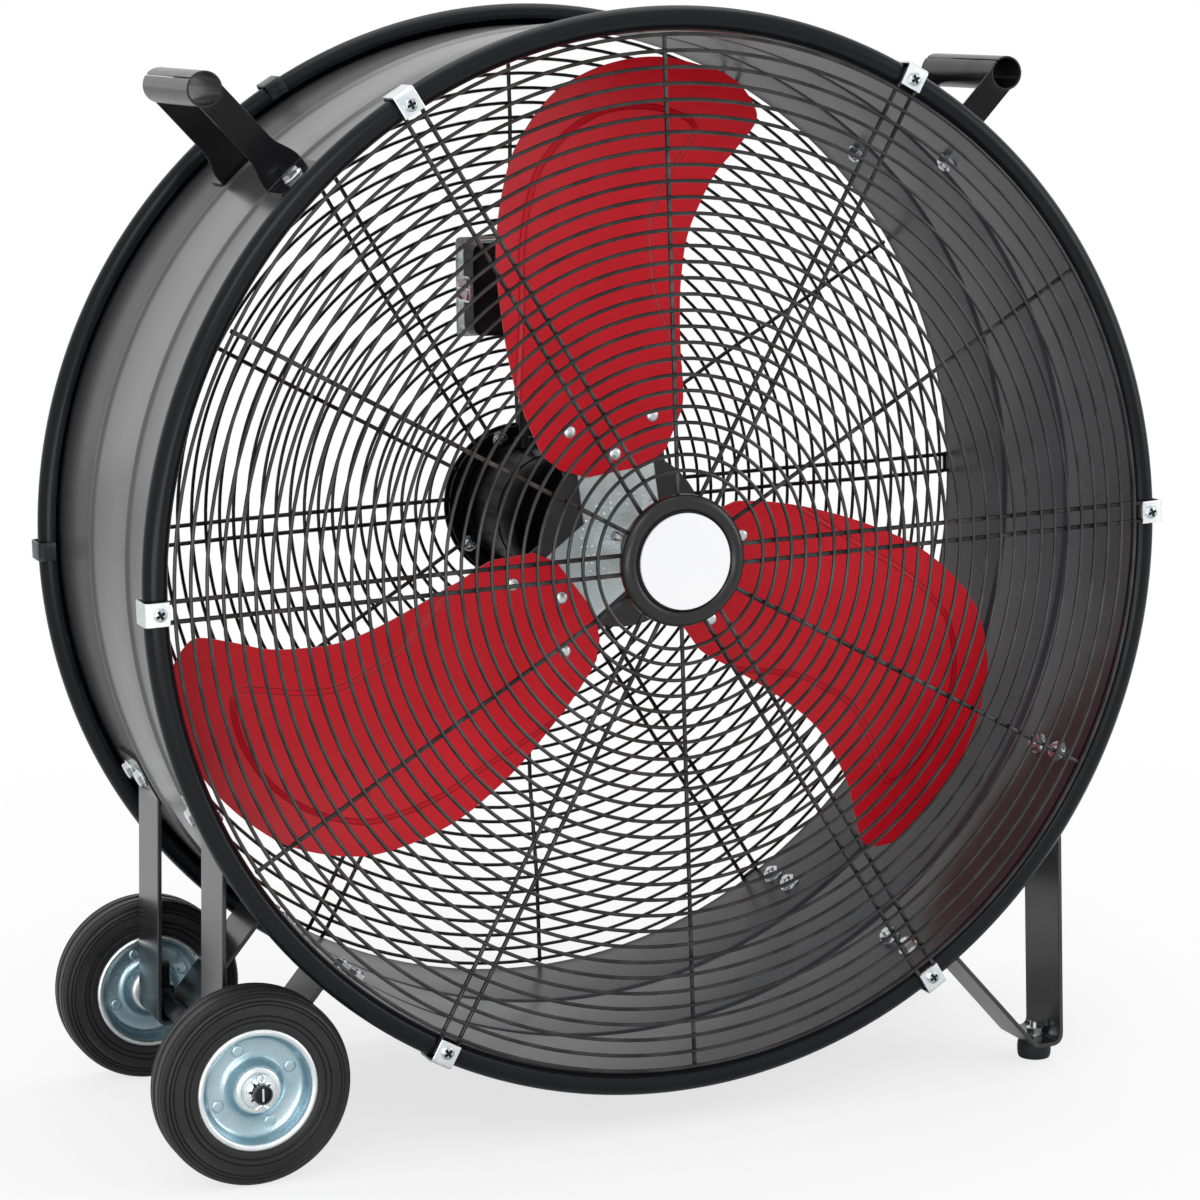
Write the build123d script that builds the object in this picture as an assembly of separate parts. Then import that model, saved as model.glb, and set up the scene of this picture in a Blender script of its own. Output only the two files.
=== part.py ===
from build123d import *
import os
from math import cos, sin, radians, sqrt, atan2, degrees, acos

# Drum fan on two wheels and two rubber feet. Millimetres, +Z up, air blows towards -Y.
# Everything is drawn about the fan's axis (x = 0, z = 0, y = 0 at mid depth of the drum)
# and moved onto the floor when it is written.

# drum
ground_clearance = 28.5
rim_radius = 415.0
bead_radius = 9.5
rim_half_depth = 158.0
drum_sheet = 1.2
swage_offset = 53.0
swage_half_width = 5.0
swage_rise = 2.5

# wire guards
ring_wire = 3.0
spoke_wire = 3.5
ring_rim_gap = 2.5
ring_cap_gap = 18.05
ring_bell_gap = 20.075
front_ring_count = 28
rear_ring_count = 18
spoke_pair_spacing = 15.0
spoke_pairs = 6
spoke_turn = 1.5
guard_depth = 163.5
rear_guard_bulge = 8.0
bulge_outer_radius = 330.0
bulge_inner_radius = 250.0
spoke_inner_radius = 46.0
clip_sheet = 2.0
clip_width = 22.0
clip_gap = 0.4
hub_cap_radius = 51.5
hub_cap_height = 9.5
hub_cap_wall = 2.5
hub_cap_round = 3.5
badge_radius = 37.5
badge_sheet = 0.8
centre_plate_radius = 48.5
centre_plate_sheet = 1.5

# fan blades and their hub
blade_count = 3
blade_turn = 97.375
blade_sheet = 1.8
blade_press = 1.5
blade_face = -59.4
blade_tip_gap = 21.0
trefoil_sheet = 2.5
trefoil_half_width = 33.0
trefoil_reach = 104.0
trefoil_centre_radius = 37.0
spider_sheet = 3.0
spider_half_width = 44.0
spider_reach = 110.0
spider_centre_radius = 71.0
spider_corner = 14.0
boss_radius = 22.0
boss_front = -100.0
hub_flange_radius = 36.0
hub_flange_height = 4.0
rivet_head_radius = 5.2
rivet_head_height = 2.2
rivet_outer_seat = 95.0
rivet_side_seat = 36.0
rivet_inner_seat = 70.5
set_screw_radius = 4.0
set_screw_stand = 3.0

# motor
shaft_radius = 8.0
shaft_front = -105.0
shaft_back = 150.0
running_clearance = 0.05
press_clearance = 0.01
motor_radius = 51.0
motor_front = 62.0
motor_nose_radius = 20.0
motor_nose_height = 6.0
shell_flange_radius = 66.0
shell_flange_sheet = 4.0
bell_flange_radius = 68.0
bell_flange_sheet = 4.0
bell_radius = 44.0
bell_height = 16.0
motor_screw_seat_radius = 57.0
motor_screw_radius = 5.0
motor_screw_height = 3.5

# switch box behind the blades
switch_box_width = 58.0
switch_box_height = 78.0
switch_box_depth = 38.0
switch_box_wall = 2.0
switch_box_left = -55.0
switch_box_bottom = 148.0
switch_plate_sheet = 2.5
knob_seat_radius = 186.9
knob_angle = 98.0
knob_radius = 16.0
knob_height = 14.0
knob_gap = 1.0
knob_stem_radius = 3.0
switch_bush_radius = 4.2
bush_clearance = 0.1
switch_body_size = 30.0
switch_body_depth = 22.0
lead_radius = 4.0
lead_gland_radius = 8.0
lead_gland_height = 8.0

# carrying handles
grip_angle = 46.95
grip_stand = 75.1
grip_radius = 14.0
grip_wall = 1.5
leg_offset = 60.5
handle_sheet = 2.5
leg_width = 24.0
foot_width = 37.0
foot_length = 42.0
handle_bolt_offset = 81.0

# stand brackets
strap_width = 57.0
strap_sheet = 3.5
bracket_bolt_spacing = 33.0
tab_length = 38.0
foot_bracket_offset = 112.0
foot_strap_inset = 66.7
foot_strap_lean = 5.0
foot_plate_length = 22.7
foot_diagonal_angle = 131.6
wheel_bracket_offset = 90.0
wheel_strap_inset = 62.5
wheel_strap_lean = 4.5
wheel_plate_length = 21.0
wheel_diagonal_angle = 130.0
hex_head_radius = 7.5
hex_head_height = 5.0
hex_nut_height = 6.0

# rubber feet
rubber_foot_radius = 14.0
rubber_foot_height = 16.0
rubber_foot_inset = 8.3
stud_radius = 4.0
foot_stud_stand = 5.0

# wheels
wheel_radius = 75.0
wheel_width = 40.0
wheel_inset = 69.0
wheel_offset = 146.0
axle_radius = 7.5
axle_half_length = 178.0
axle_stud_stand = 19.0
tyre_bore = 42.0
tyre_wall_drop = 5.0
disc_sheet = 2.5
disc_web_radius = 24.0
wheel_tube_radius = 14.0
wheel_tube_stand = 1.5
washer_radius = 13.0
washer_sheet = 2.0
washer_gap = 0.3

# derived places
wall_inner = rim_radius - bead_radius
wall_outer = wall_inner + drum_sheet
rim_reach = rim_radius + bead_radius
bead_face = rim_half_depth + bead_radius
axis_height = rim_reach + ground_clearance
floor_level = -axis_height
front_spoke_face = -guard_depth - spoke_wire
rear_plane = guard_depth + rear_guard_bulge
rear_spoke_face = rear_plane + spoke_wire
ring_height = 0.87 * ring_wire
outer_ring_radius = wall_inner - ring_rim_gap
front_ring_span = outer_ring_radius - hub_cap_radius - ring_cap_gap
rear_ring_span = outer_ring_radius - bell_flange_radius - ring_bell_gap
ring_top = rear_spoke_face + ring_height
bell_back = rear_spoke_face + bell_flange_sheet + bell_height
switch_plate_front = rear_plane - switch_plate_sheet
knob_front = ring_top + knob_gap
knob_back = knob_front + knob_height
rear_extent = max(bell_back, knob_back, axle_half_length)
front_extent = max(axle_half_length, hub_cap_height + badge_sheet - front_spoke_face)
depth_shift = (front_extent - rear_extent) / 2
axle_level = floor_level + wheel_radius
grip_seat_radius = rim_reach + grip_stand
foot_strap_top = rim_radius - foot_strap_inset
foot_strap_bottom = foot_strap_top + foot_strap_lean
rubber_foot_centre = foot_strap_bottom - rubber_foot_inset
wheel_strap_top = rim_radius - wheel_strap_inset
wheel_strap_bottom = wheel_strap_top + wheel_strap_lean
wheel_centre = rim_radius - wheel_inset


def write(shape, node):
    """Writes one piece, standing on the floor with the whole centred in depth."""
    export_step(Pos(0, depth_shift, axis_height) * shape, "parts/%s.step" % node)


def group(pieces):
    """Keeps separate solids of one kind together."""
    return Compound([solid for piece in pieces for solid in piece.solids()])


def polar(radius, angle):
    return (radius * cos(radians(angle)), radius * sin(radians(angle)))


def turned(points):
    """A piece turned about the fan axis from (radius, depth) corners."""
    return revolve(Polygon(*points, align=None), Axis.Y)


def around(shape, angle):
    """Turns a piece about the fan axis, counter-clockwise seen from the front."""
    return Rot(0, -angle, 0) * shape


def bar(radius, start, end):
    """A round bar along the depth."""
    return Pos(0, (start + end) / 2, 0) * Rot(90, 0, 0) * Cylinder(radius, end - start)


def tube(outer, inner, start, end):
    return bar(outer, start, end) - bar(inner, start, end)


def upright(radius, bottom, top):
    return Pos(0, 0, (bottom + top) / 2) * Cylinder(radius, top - bottom)


def hexagon(radius, height):
    """A hexagon prism that stands on its own base, pointing away along +Z."""
    return extrude(RegularPolygon(radius, 6), height)


def radial(shape, angle, radius, depth):
    """Seats a piece drawn along +Z on a cylinder about the fan axis."""
    return around(Pos(radius, depth, 0) * Rot(0, 90, 0) * shape, angle)


def plate(sketch, front, back):
    """A flat sketch seen from the front, given its thickness between two depths."""
    facing = Plane(origin=(0, back, 0), x_dir=(1, 0, 0), z_dir=(0, -1, 0))
    return extrude(facing * sketch, back - front)


def wedge(low, high):
    """Sector of the drum's side view between two angles."""
    return Polygon((0, 0), polar(2 * wall_outer, low), polar(2 * wall_outer, high), align=None)


# drum

def rolled_bead(side):
    """The rim's sheet rolled outwards, as a row of (radius, depth) corners."""
    steps = range(45, 271, 45)
    rows = []
    for size in (bead_radius, bead_radius - drum_sheet):
        rows.append([(rim_radius - size * cos(radians(a)),
                      side * (rim_half_depth + size * sin(radians(a)))) for a in steps])
    return rows[0] + rows[1][::-1]


def wall_line(radius):
    """One side of the drum wall with its two swages, from front to back."""
    line = [(radius, -rim_half_depth)]
    for centre in (-swage_offset, swage_offset):
        line.append((radius, centre - swage_half_width))
        line.append((radius + swage_rise, centre))
        line.append((radius, centre + swage_half_width))
    line.append((radius, rim_half_depth))
    return line


def make_drum():
    outline = rolled_bead(-1) + wall_line(wall_outer)
    outline += rolled_bead(1)[::-1] + wall_line(wall_inner)[::-1]
    return turned(outline)


# guards

def side_bar(points, width):
    """A wire bent in the plane of the fan axis, from (radius, depth) corners."""
    return extrude(Polygon(*points, align=None), width / 2, both=True)


def bulge_at(radius, bulge):
    """How far a guard with this much bulge stands out at a radius."""
    span = bulge_outer_radius - bulge_inner_radius
    return bulge * min(1.0, max(0.0, (bulge_outer_radius - radius) / span))


def spoke(side, bulge, outer_end):
    """One spoke of a guard; with an outer end it climbs over the bead to its clip."""
    rows = []
    for lift in (0, spoke_wire):
        row = [(spoke_inner_radius, guard_depth + bulge + lift)]
        if bulge:
            row.append((bulge_inner_radius, guard_depth + bulge + lift))
            row.append((bulge_outer_radius, guard_depth + lift))
        if outer_end:
            row.append((wall_inner - lift / 4, guard_depth + lift))
            row.append((rim_radius - 4 - lift / 4, bead_face + lift))
            row.append((outer_end, bead_face + lift))
        else:
            row.append((outer_ring_radius + ring_wire / 2, guard_depth + lift))
        rows.append(row)
    points = [(r, side * y) for r, y in rows[0] + rows[1][::-1]]
    return side_bar(points, spoke_wire)


def make_guard(side, bulge, ring_span, count):
    """Double spokes that reach the clips, single ones between, and rings welded on their face."""
    long_spoke = spoke(side, bulge, rim_radius + 6)
    short_spoke = spoke(side, bulge, None)
    half = spoke_pair_spacing / 2
    pieces = []
    for k in range(spoke_pairs):
        angle = spoke_turn + k * 360 / spoke_pairs
        pieces.append(around(Pos(0, 0, half) * long_spoke, angle))
        pieces.append(around(Pos(0, 0, -half) * long_spoke, angle))
        pieces.append(around(short_spoke, angle + 180 / spoke_pairs))
    for k in range(count):
        radius = outer_ring_radius - ring_span * k / (count - 1)
        pieces.append(guard_ring(radius, side, bulge))
    return group(pieces)


def guard_ring(radius, side, bulge):
    """One ring of three-sided wire that lies on the spokes."""
    half = ring_wire / 2
    seat = guard_depth + spoke_wire + bulge_at(radius - half, bulge)
    return turned([(radius - half, side * seat), (radius + half, side * seat),
                   (radius, side * (seat + ring_height))])


def make_clips(side):
    """Clamp clips bent round the bead, each over the end of a double spoke."""
    face = bead_face + spoke_wire
    inner = rim_reach + clip_gap
    tail = rim_half_depth - bead_radius - clip_gap
    points = [(rim_radius - 4, face), (inner, face), (inner, tail), (rim_radius, tail)]
    points += [(rim_radius, tail - clip_sheet), (inner + clip_sheet, tail - clip_sheet)]
    points += [(inner + clip_sheet, face + clip_sheet), (rim_radius - 4, face + clip_sheet)]
    clip = side_bar([(r, side * y) for r, y in points], clip_width)
    return group([around(clip, spoke_turn + k * 360 / spoke_pairs) for k in range(spoke_pairs)])


def make_hub_cap():
    """Cup with a rolled edge that covers the inner ends of the front spokes."""
    back = front_spoke_face
    front = back - hub_cap_height
    outer = hub_cap_radius
    inner = outer - hub_cap_wall
    edge = hub_cap_round
    points = [(0, front), (outer - edge, front), (outer, front + edge), (outer, back), (inner, back)]
    points += [(inner, front + hub_cap_wall + edge), (inner - edge, front + hub_cap_wall)]
    points += [(0, front + hub_cap_wall)]
    return turned(points)


def make_badge():
    front = front_spoke_face - hub_cap_height
    return bar(badge_radius, front - badge_sheet, front)


def make_centre_plate():
    return bar(centre_plate_radius, -guard_depth, -guard_depth + centre_plate_sheet)


# blades

# The outlines below are drawn for a blade that reaches 384.5 from the fan axis.
blade_scale = (wall_inner - blade_tip_gap) / 384.5
blade_middle = 205 * blade_scale
blade_end = 395 * blade_scale


def blade_depth(s, t):
    """Depth of the blade's front face at a distance s out along it and t across it."""
    out = s - 207.5
    return blade_face + 5.8 - 0.102 * t - 0.000745 * t * t - 0.000783 * out * t + 0.042 * out


def blade_section(s, curved, shift):
    """A slice across the blade sheet at a distance s from the fan axis."""
    ends = (-190 * blade_scale, 0, 110 * blade_scale)
    front = [(t, (blade_depth(s, t) if curved else blade_face) + shift) for t in ends]
    back = [(t, y + blade_sheet) for t, y in front]
    if curved:
        edges = [ThreePointArc(*front), ThreePointArc(*back)]
    else:
        edges = [Line(front[0], front[2]), Line(back[0], back[2])]
    edges.append(Line(front[0], back[0]))
    edges.append(Line(front[2], back[2]))
    slice_plane = Plane(origin=(s, 0, 0), x_dir=(0, 0, 1), z_dir=(-1, 0, 0))
    return slice_plane * make_face(edges)


def blade_sheet_solid(shift):
    """The pressed sheet before it is cut out: flat at the root, then twisted and cambered."""
    sections = [blade_section(40, False, shift), blade_section(spider_reach, False, shift)]
    sections += [blade_section(blade_middle, True, shift), blade_section(blade_end, True, shift)]
    return loft(sections, ruled=True)


def blade_outline():
    """Planform of the blade: s runs out along it, t towards its leading edge."""
    edges = [Line((56, 26), (66, 48)), Line((66, 48), (79, 60))]
    edges.append(ThreePointArc((79, 60), (165, 81), (248, 79)))
    edges.append(ThreePointArc((248, 79), (320, 52), (357, 12)))
    edges.append(ThreePointArc((357, 12), (376, -62), (362, -128)))
    edges.append(ThreePointArc((362, -128), (343, -161), (311, -167)))
    edges.append(ThreePointArc((311, -167), (276, -125), (230, -91)))
    edges.append(ThreePointArc((230, -91), (165, -73), (95, -62)))
    edges.append(Line((95, -62), (66, -44)))
    edges.append(Line((66, -44), (56, -25)))
    edges.append(Line((56, -25), (56, 26)))
    return scale(make_face(edges), blade_scale)


def panel_outline():
    """The raised middle panel, which runs off the blade at its root."""
    edges = [Line((40, 90), (205, 62)), ThreePointArc((205, 62), (263, 51), (304, 31))]
    edges.append(ThreePointArc((304, 31), (340, -47), (324, -105)))
    edges.append(ThreePointArc((324, -105), (313, -113), (297, -100)))
    edges.append(ThreePointArc((297, -100), (250, -62), (183, -56)))
    edges.append(Line((183, -56), (40, -90)))
    edges.append(Line((40, -90), (40, 90)))
    return scale(make_face(edges), blade_scale)


def make_blade():
    """One blade along +X with its leading edge towards +Z."""
    outline = plate(blade_outline(), -150, 150)
    panel = plate(panel_outline(), -150, 150)
    middle = blade_sheet_solid(0) & outline & panel
    border = (blade_sheet_solid(blade_press) & outline) - panel
    return middle + border


def make_blades():
    blade = make_blade()
    return [around(blade, blade_turn + k * 360 / blade_count) for k in range(blade_count)]


trefoil_front = blade_face + blade_sheet
spider_front = trefoil_front + trefoil_sheet
flange_front = spider_front + spider_sheet
hub_bore = shaft_radius + press_clearance


def three_arms(half_width, reach, corner, centre_radius):
    """Flat plate with an arm for each blade, drawn in the plane of the fan's face."""
    arm = Pos(reach / 2, 0) * Rectangle(reach, 2 * half_width)
    arm = fillet(arm.vertices().group_by(Axis.X)[-1], corner)
    shape = Circle(centre_radius)
    for k in range(blade_count):
        shape += Rot(0, 0, blade_turn + k * 360 / blade_count) * arm
    return shape - Circle(hub_bore)


def make_trefoil():
    shape = three_arms(trefoil_half_width, trefoil_reach, 8, trefoil_centre_radius)
    return plate(shape, trefoil_front, spider_front)


def make_spider():
    """Black pressed plate behind the trefoil, with a stiffening rib down each arm."""
    shape = three_arms(spider_half_width, spider_reach, spider_corner, spider_centre_radius)
    body = plate(shape, spider_front, flange_front)
    start = hub_flange_radius + 6
    length = spider_reach - 6 - start
    rib = Pos(start + length / 2, flange_front + 1.5, 0) * Box(length, 3, 9)
    for k in range(blade_count):
        body += around(rib, blade_turn + k * 360 / blade_count)
    return body


def make_boss():
    return tube(boss_radius, hub_bore, boss_front, trefoil_front)


def make_hub_flange():
    return tube(hub_flange_radius, hub_bore, flange_front, flange_front + hub_flange_height)


def make_rivets():
    """Eight-sided rivet heads, three on each blade root."""
    head = extrude(RegularPolygon(rivet_head_radius, 8), rivet_head_height)
    seats = ((rivet_outer_seat, rivet_side_seat), (rivet_outer_seat, -rivet_side_seat), (rivet_inner_seat, 0))
    pieces = []
    for k in range(blade_count):
        angle = blade_turn + k * 360 / blade_count
        for s, t in seats:
            pieces.append(around(Pos(s, blade_face, t) * Rot(90, 0, 0) * head, angle))
    return group(pieces)


def make_set_screw():
    """Grub screw in the side of the boss."""
    screw = Pos(0, 0, set_screw_stand / 2 - 2) * Cylinder(set_screw_radius, set_screw_stand + 4)
    screw = radial(screw, 0, boss_radius, boss_front + 12) - bar(boss_radius, boss_front, trefoil_front)
    return around(screw, blade_turn + 60)


def make_shaft():
    return bar(shaft_radius, shaft_front, shaft_back)


# motor

spigot_radius = spoke_inner_radius - 2


def make_motor_shell():
    """Motor body with a nose round its front bearing and a flange in front of the guard."""
    nose = motor_front - motor_nose_height
    bore = shaft_radius + running_clearance
    inside = rear_plane - shell_flange_sheet
    points = [(bore, nose), (motor_nose_radius, nose), (motor_nose_radius, motor_front)]
    points += [(motor_radius, motor_front)]
    points += [(motor_radius, inside), (shell_flange_radius, inside), (shell_flange_radius, rear_plane)]
    points += [(bore, rear_plane)]
    return turned(points)


def make_motor_bell():
    """Rear cover that clamps the inner ends of the rear spokes against the shell."""
    face = rear_spoke_face
    points = [(0, rear_plane), (spigot_radius, rear_plane), (spigot_radius, face)]
    points += [(bell_flange_radius, face), (bell_flange_radius, face + bell_flange_sheet)]
    points += [(bell_radius, face + bell_flange_sheet), (bell_radius, bell_back), (0, bell_back)]
    return turned(points)


def make_motor_screws():
    """Screw heads on the bell's flange."""
    head = Rot(-90, 0, 0) * hexagon(motor_screw_radius, motor_screw_height)
    pieces = []
    for k in range(4):
        x, z = polar(motor_screw_seat_radius, 45 + 90 * k)
        pieces.append(Pos(x, rear_spoke_face + bell_flange_sheet, z) * head)
    return group(pieces)


# switch box

switch_box_x = switch_box_left + switch_box_width / 2
switch_box_z = switch_box_bottom + switch_box_height / 2
knob_x, knob_z = polar(knob_seat_radius, knob_angle)
bush_end = ring_top + knob_gap / 2
lead_x = switch_box_left + 50
lead_y = switch_plate_front - switch_box_depth / 2
gland_top = sqrt(motor_radius ** 2 - lead_x ** 2) + lead_gland_height


def make_switch_box():
    """Pressed box, open at the back, where its plate closes it."""
    wall = switch_box_wall
    outer = Box(switch_box_width, switch_box_depth, switch_box_height)
    inner = Box(switch_box_width - 2 * wall, switch_box_depth, switch_box_height - 2 * wall)
    place = Pos(switch_box_x, switch_plate_front - switch_box_depth / 2, switch_box_z)
    return place * (outer - Pos(0, wall, 0) * inner)


def make_switch_plate():
    sheet = Box(switch_box_width + 4, switch_plate_sheet, switch_box_height + 6)
    sheet = Pos(switch_box_x, rear_plane - switch_plate_sheet / 2, switch_box_z) * sheet
    hole = bar(switch_bush_radius + bush_clearance, switch_plate_front - 1, rear_plane + 1)
    return sheet - Pos(knob_x, 0, knob_z) * hole


def make_rotary_switch():
    body = Box(switch_body_size, switch_body_depth, switch_body_size)
    body = Pos(0, switch_plate_front - switch_body_depth / 2, 0) * body
    body += bar(switch_bush_radius, switch_plate_front - 1, bush_end)
    body -= bar(knob_stem_radius + running_clearance, switch_plate_front - 6, bush_end + 1)
    return Pos(knob_x, 0, knob_z) * body


def make_knob():
    """Round knob with a raised bar to grip, its stem running in the switch's bush."""
    grip_start = knob_back - knob_height * 0.55
    body = bar(knob_radius, knob_front, grip_start)
    body += Pos(0, (grip_start + knob_back) / 2, 0) * Box(6, knob_back - grip_start, 2 * knob_radius - 3)
    body += bar(knob_stem_radius, switch_plate_front - 5, knob_front + 1)
    return Pos(knob_x, 0, knob_z) * body


def make_lead_gland():
    """Gland on the motor that the short inner lead enters."""
    body = upright(lead_gland_radius, gland_top - 3 * lead_gland_height, gland_top)
    return Pos(lead_x, lead_y, 0) * body - bar(motor_radius, motor_front, rear_plane)


def make_motor_lead():
    return Pos(lead_x, lead_y, 0) * upright(lead_radius, gland_top, switch_box_bottom)


# handles

def make_grip():
    """Rolled tube between the two legs of a handle."""
    half = leg_offset - handle_sheet / 2
    return Pos(grip_seat_radius, 0, 0) * tube(grip_radius, grip_radius - grip_wall, -half, half)


def make_handle_legs():
    """Two flat straps, each with a flared foot that follows the drum."""
    start = wall_outer - 5
    leg_shape = Pos((start + grip_seat_radius) / 2, 0) * Rectangle(grip_seat_radius - start, leg_width)
    leg_shape += Pos(grip_seat_radius, 0) * Circle(grip_radius)
    leg_shape -= Circle(wall_outer)
    half_angle = degrees(foot_width / 2 / wall_outer)
    band = (Circle(wall_outer + handle_sheet) - Circle(wall_outer)) & wedge(-half_angle, half_angle)
    inner_side = leg_offset - handle_sheet / 2
    leg = plate(leg_shape, inner_side, inner_side + handle_sheet)
    leg += plate(band, inner_side, inner_side + foot_length)
    return group([leg, mirror(leg, Plane.XZ)])


def make_handle_bolts(angle):
    """Hexagon bolt heads on the feet of one handle."""
    head = hexagon(hex_head_radius, hex_head_height)
    seat = wall_outer + handle_sheet
    return [radial(head, angle, seat, side * handle_bolt_offset) for side in (-1, 1)]


def make_drum_nut(angle, depth):
    """Nut inside the drum, its outer face against the wall."""
    seat = sqrt(wall_inner ** 2 - hex_head_radius ** 2)
    return radial(hexagon(hex_head_radius, hex_nut_height), angle, seat - hex_nut_height, depth)


# stand brackets

def bracket_shape(top, bottom, plate_length, plate_level, diagonal_angle):
    """Side view of a V bracket on the +X side, and the angles of its two rows of bolts."""
    sheet = strap_sheet
    plate_inner = bottom - plate_length
    disc = Circle(wall_outer)
    strap_angle = -degrees(acos(top / wall_outer))
    strap_end = wall_outer * sin(radians(strap_angle)) + 4
    strap = Polygon((bottom, plate_level), (bottom + sheet, plate_level), (top + sheet, strap_end),
                    (top, strap_end), align=None)
    base = Polygon((plate_inner, plate_level), (bottom + sheet, plate_level),
                   (bottom + sheet, plate_level + sheet), (plate_inner + 2, plate_level + sheet), align=None)
    start = Vector(plate_inner, plate_level)
    along = Vector(*polar(1, diagonal_angle))
    across = Vector(along.Y, -along.X) * sheet
    dot = start.X * along.X + start.Y * along.Y
    reach = -dot - sqrt(dot * dot - start.X ** 2 - start.Y ** 2 + wall_outer ** 2)
    hit = start + along * reach
    hit_angle = degrees(atan2(hit.Y, hit.X))
    far = start + along * (reach + 10)
    diagonal = Polygon(start, start + across, far + across, far, align=None)
    tab_turn = degrees(tab_length / wall_outer)
    band = Circle(wall_outer + sheet) - disc
    shape = (strap + base + diagonal) - disc
    shape += band & wedge(strap_angle - 0.6, strap_angle + tab_turn)
    shape += band & wedge(hit_angle - tab_turn, hit_angle + 0.3)
    return shape, strap_angle + tab_turn * 0.55, hit_angle - tab_turn * 0.55


foot_plate_level = floor_level + rubber_foot_height
wheel_plate_level = axle_level - axle_radius - strap_sheet
foot_bracket = bracket_shape(foot_strap_top, foot_strap_bottom, foot_plate_length,
                             foot_plate_level, foot_diagonal_angle)
wheel_bracket = bracket_shape(wheel_strap_top, wheel_strap_bottom, wheel_plate_length,
                              wheel_plate_level, wheel_diagonal_angle)


def make_bracket(shape, offset, left):
    """A bracket bent from flat bar, on the right or on the left of the drum."""
    body = plate(shape, offset - strap_width / 2, offset + strap_width / 2)
    return mirror(body, Plane.YZ) if left else body


def tab_bolt(angle, depth):
    return radial(hexagon(hex_head_radius, hex_head_height), angle, wall_outer + strap_sheet, depth)


def on_tabs(make):
    """One fastener for each of the two bolts in every bracket tab."""
    pieces = []
    for side in (-1, 1):
        for shift in (-bracket_bolt_spacing / 2, bracket_bolt_spacing / 2):
            for angle in foot_bracket[1:]:
                pieces.append(make(angle, side * foot_bracket_offset + shift))
            for angle in wheel_bracket[1:]:
                pieces.append(make(180 - angle, side * wheel_bracket_offset + shift))
    return group(pieces)


# feet

def make_rubber_foot(side):
    body = upright(rubber_foot_radius, floor_level, foot_plate_level)
    return Pos(rubber_foot_centre, side * foot_bracket_offset, 0) * body


def pair(piece, x, offset):
    """The same piece on the front and on the rear bracket."""
    return group([Pos(x, side * offset, 0) * piece for side in (-1, 1)])


foot_nut = Pos(0, 0, foot_plate_level + strap_sheet) * hexagon(hex_head_radius, hex_nut_height)
foot_nut_top = foot_plate_level + strap_sheet + hex_nut_height
foot_stud = upright(stud_radius, foot_nut_top, foot_nut_top + foot_stud_stand)
axle_nut_top = axle_level + axle_radius + hex_nut_height
axle_nut = Pos(0, 0, axle_nut_top - hex_nut_height) * hexagon(hex_head_radius, hex_nut_height)
axle_stud = upright(stud_radius, axle_nut_top, axle_nut_top + axle_stud_stand)


# axle and wheels

half_wheel = wheel_width / 2
washer_start = half_wheel + wheel_tube_stand + washer_gap


def make_axle():
    """Round bar that lies on the foot plates of the wheel brackets."""
    return Pos(-wheel_centre, 0, axle_level) * bar(axle_radius, -axle_half_length, axle_half_length)


def both_ways(points):
    """Closes a wheel's half profile with its mirror image."""
    return points + [(r, -y) for r, y in reversed(points)]


def make_tyre():
    """Solid rubber tyre with a rounded tread."""
    bead = half_wheel - tyre_wall_drop
    points = [(tyre_bore, -bead), (tyre_bore + 9, -half_wheel)]
    points += [(wheel_radius - 6, -half_wheel + 1), (wheel_radius, -half_wheel + 10)]
    return turned(both_ways(points))


def make_wheel_disc():
    """Pressed disc of two halves, spread apart to carry the tyre."""
    bead = half_wheel - tyre_wall_drop
    points = [(wheel_tube_radius, -disc_sheet), (disc_web_radius, -disc_sheet), (tyre_bore, -bead)]
    points += [(tyre_bore, -bead + disc_sheet), (disc_web_radius + 2, 0)]
    return turned(points + [(r, -y) for r, y in reversed(points[:-1])])


def make_wheel_tube():
    """Hub tube that turns on the axle."""
    half = half_wheel + wheel_tube_stand
    return tube(wheel_tube_radius, axle_radius + running_clearance, -half, half)


def make_washer(side):
    washer = tube(washer_radius, axle_radius + press_clearance, washer_start, washer_start + washer_sheet)
    return washer if side > 0 else mirror(washer, Plane.XZ)


def at_wheel(shape, side):
    return Pos(-wheel_centre, side * wheel_offset, axle_level) * shape


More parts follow.
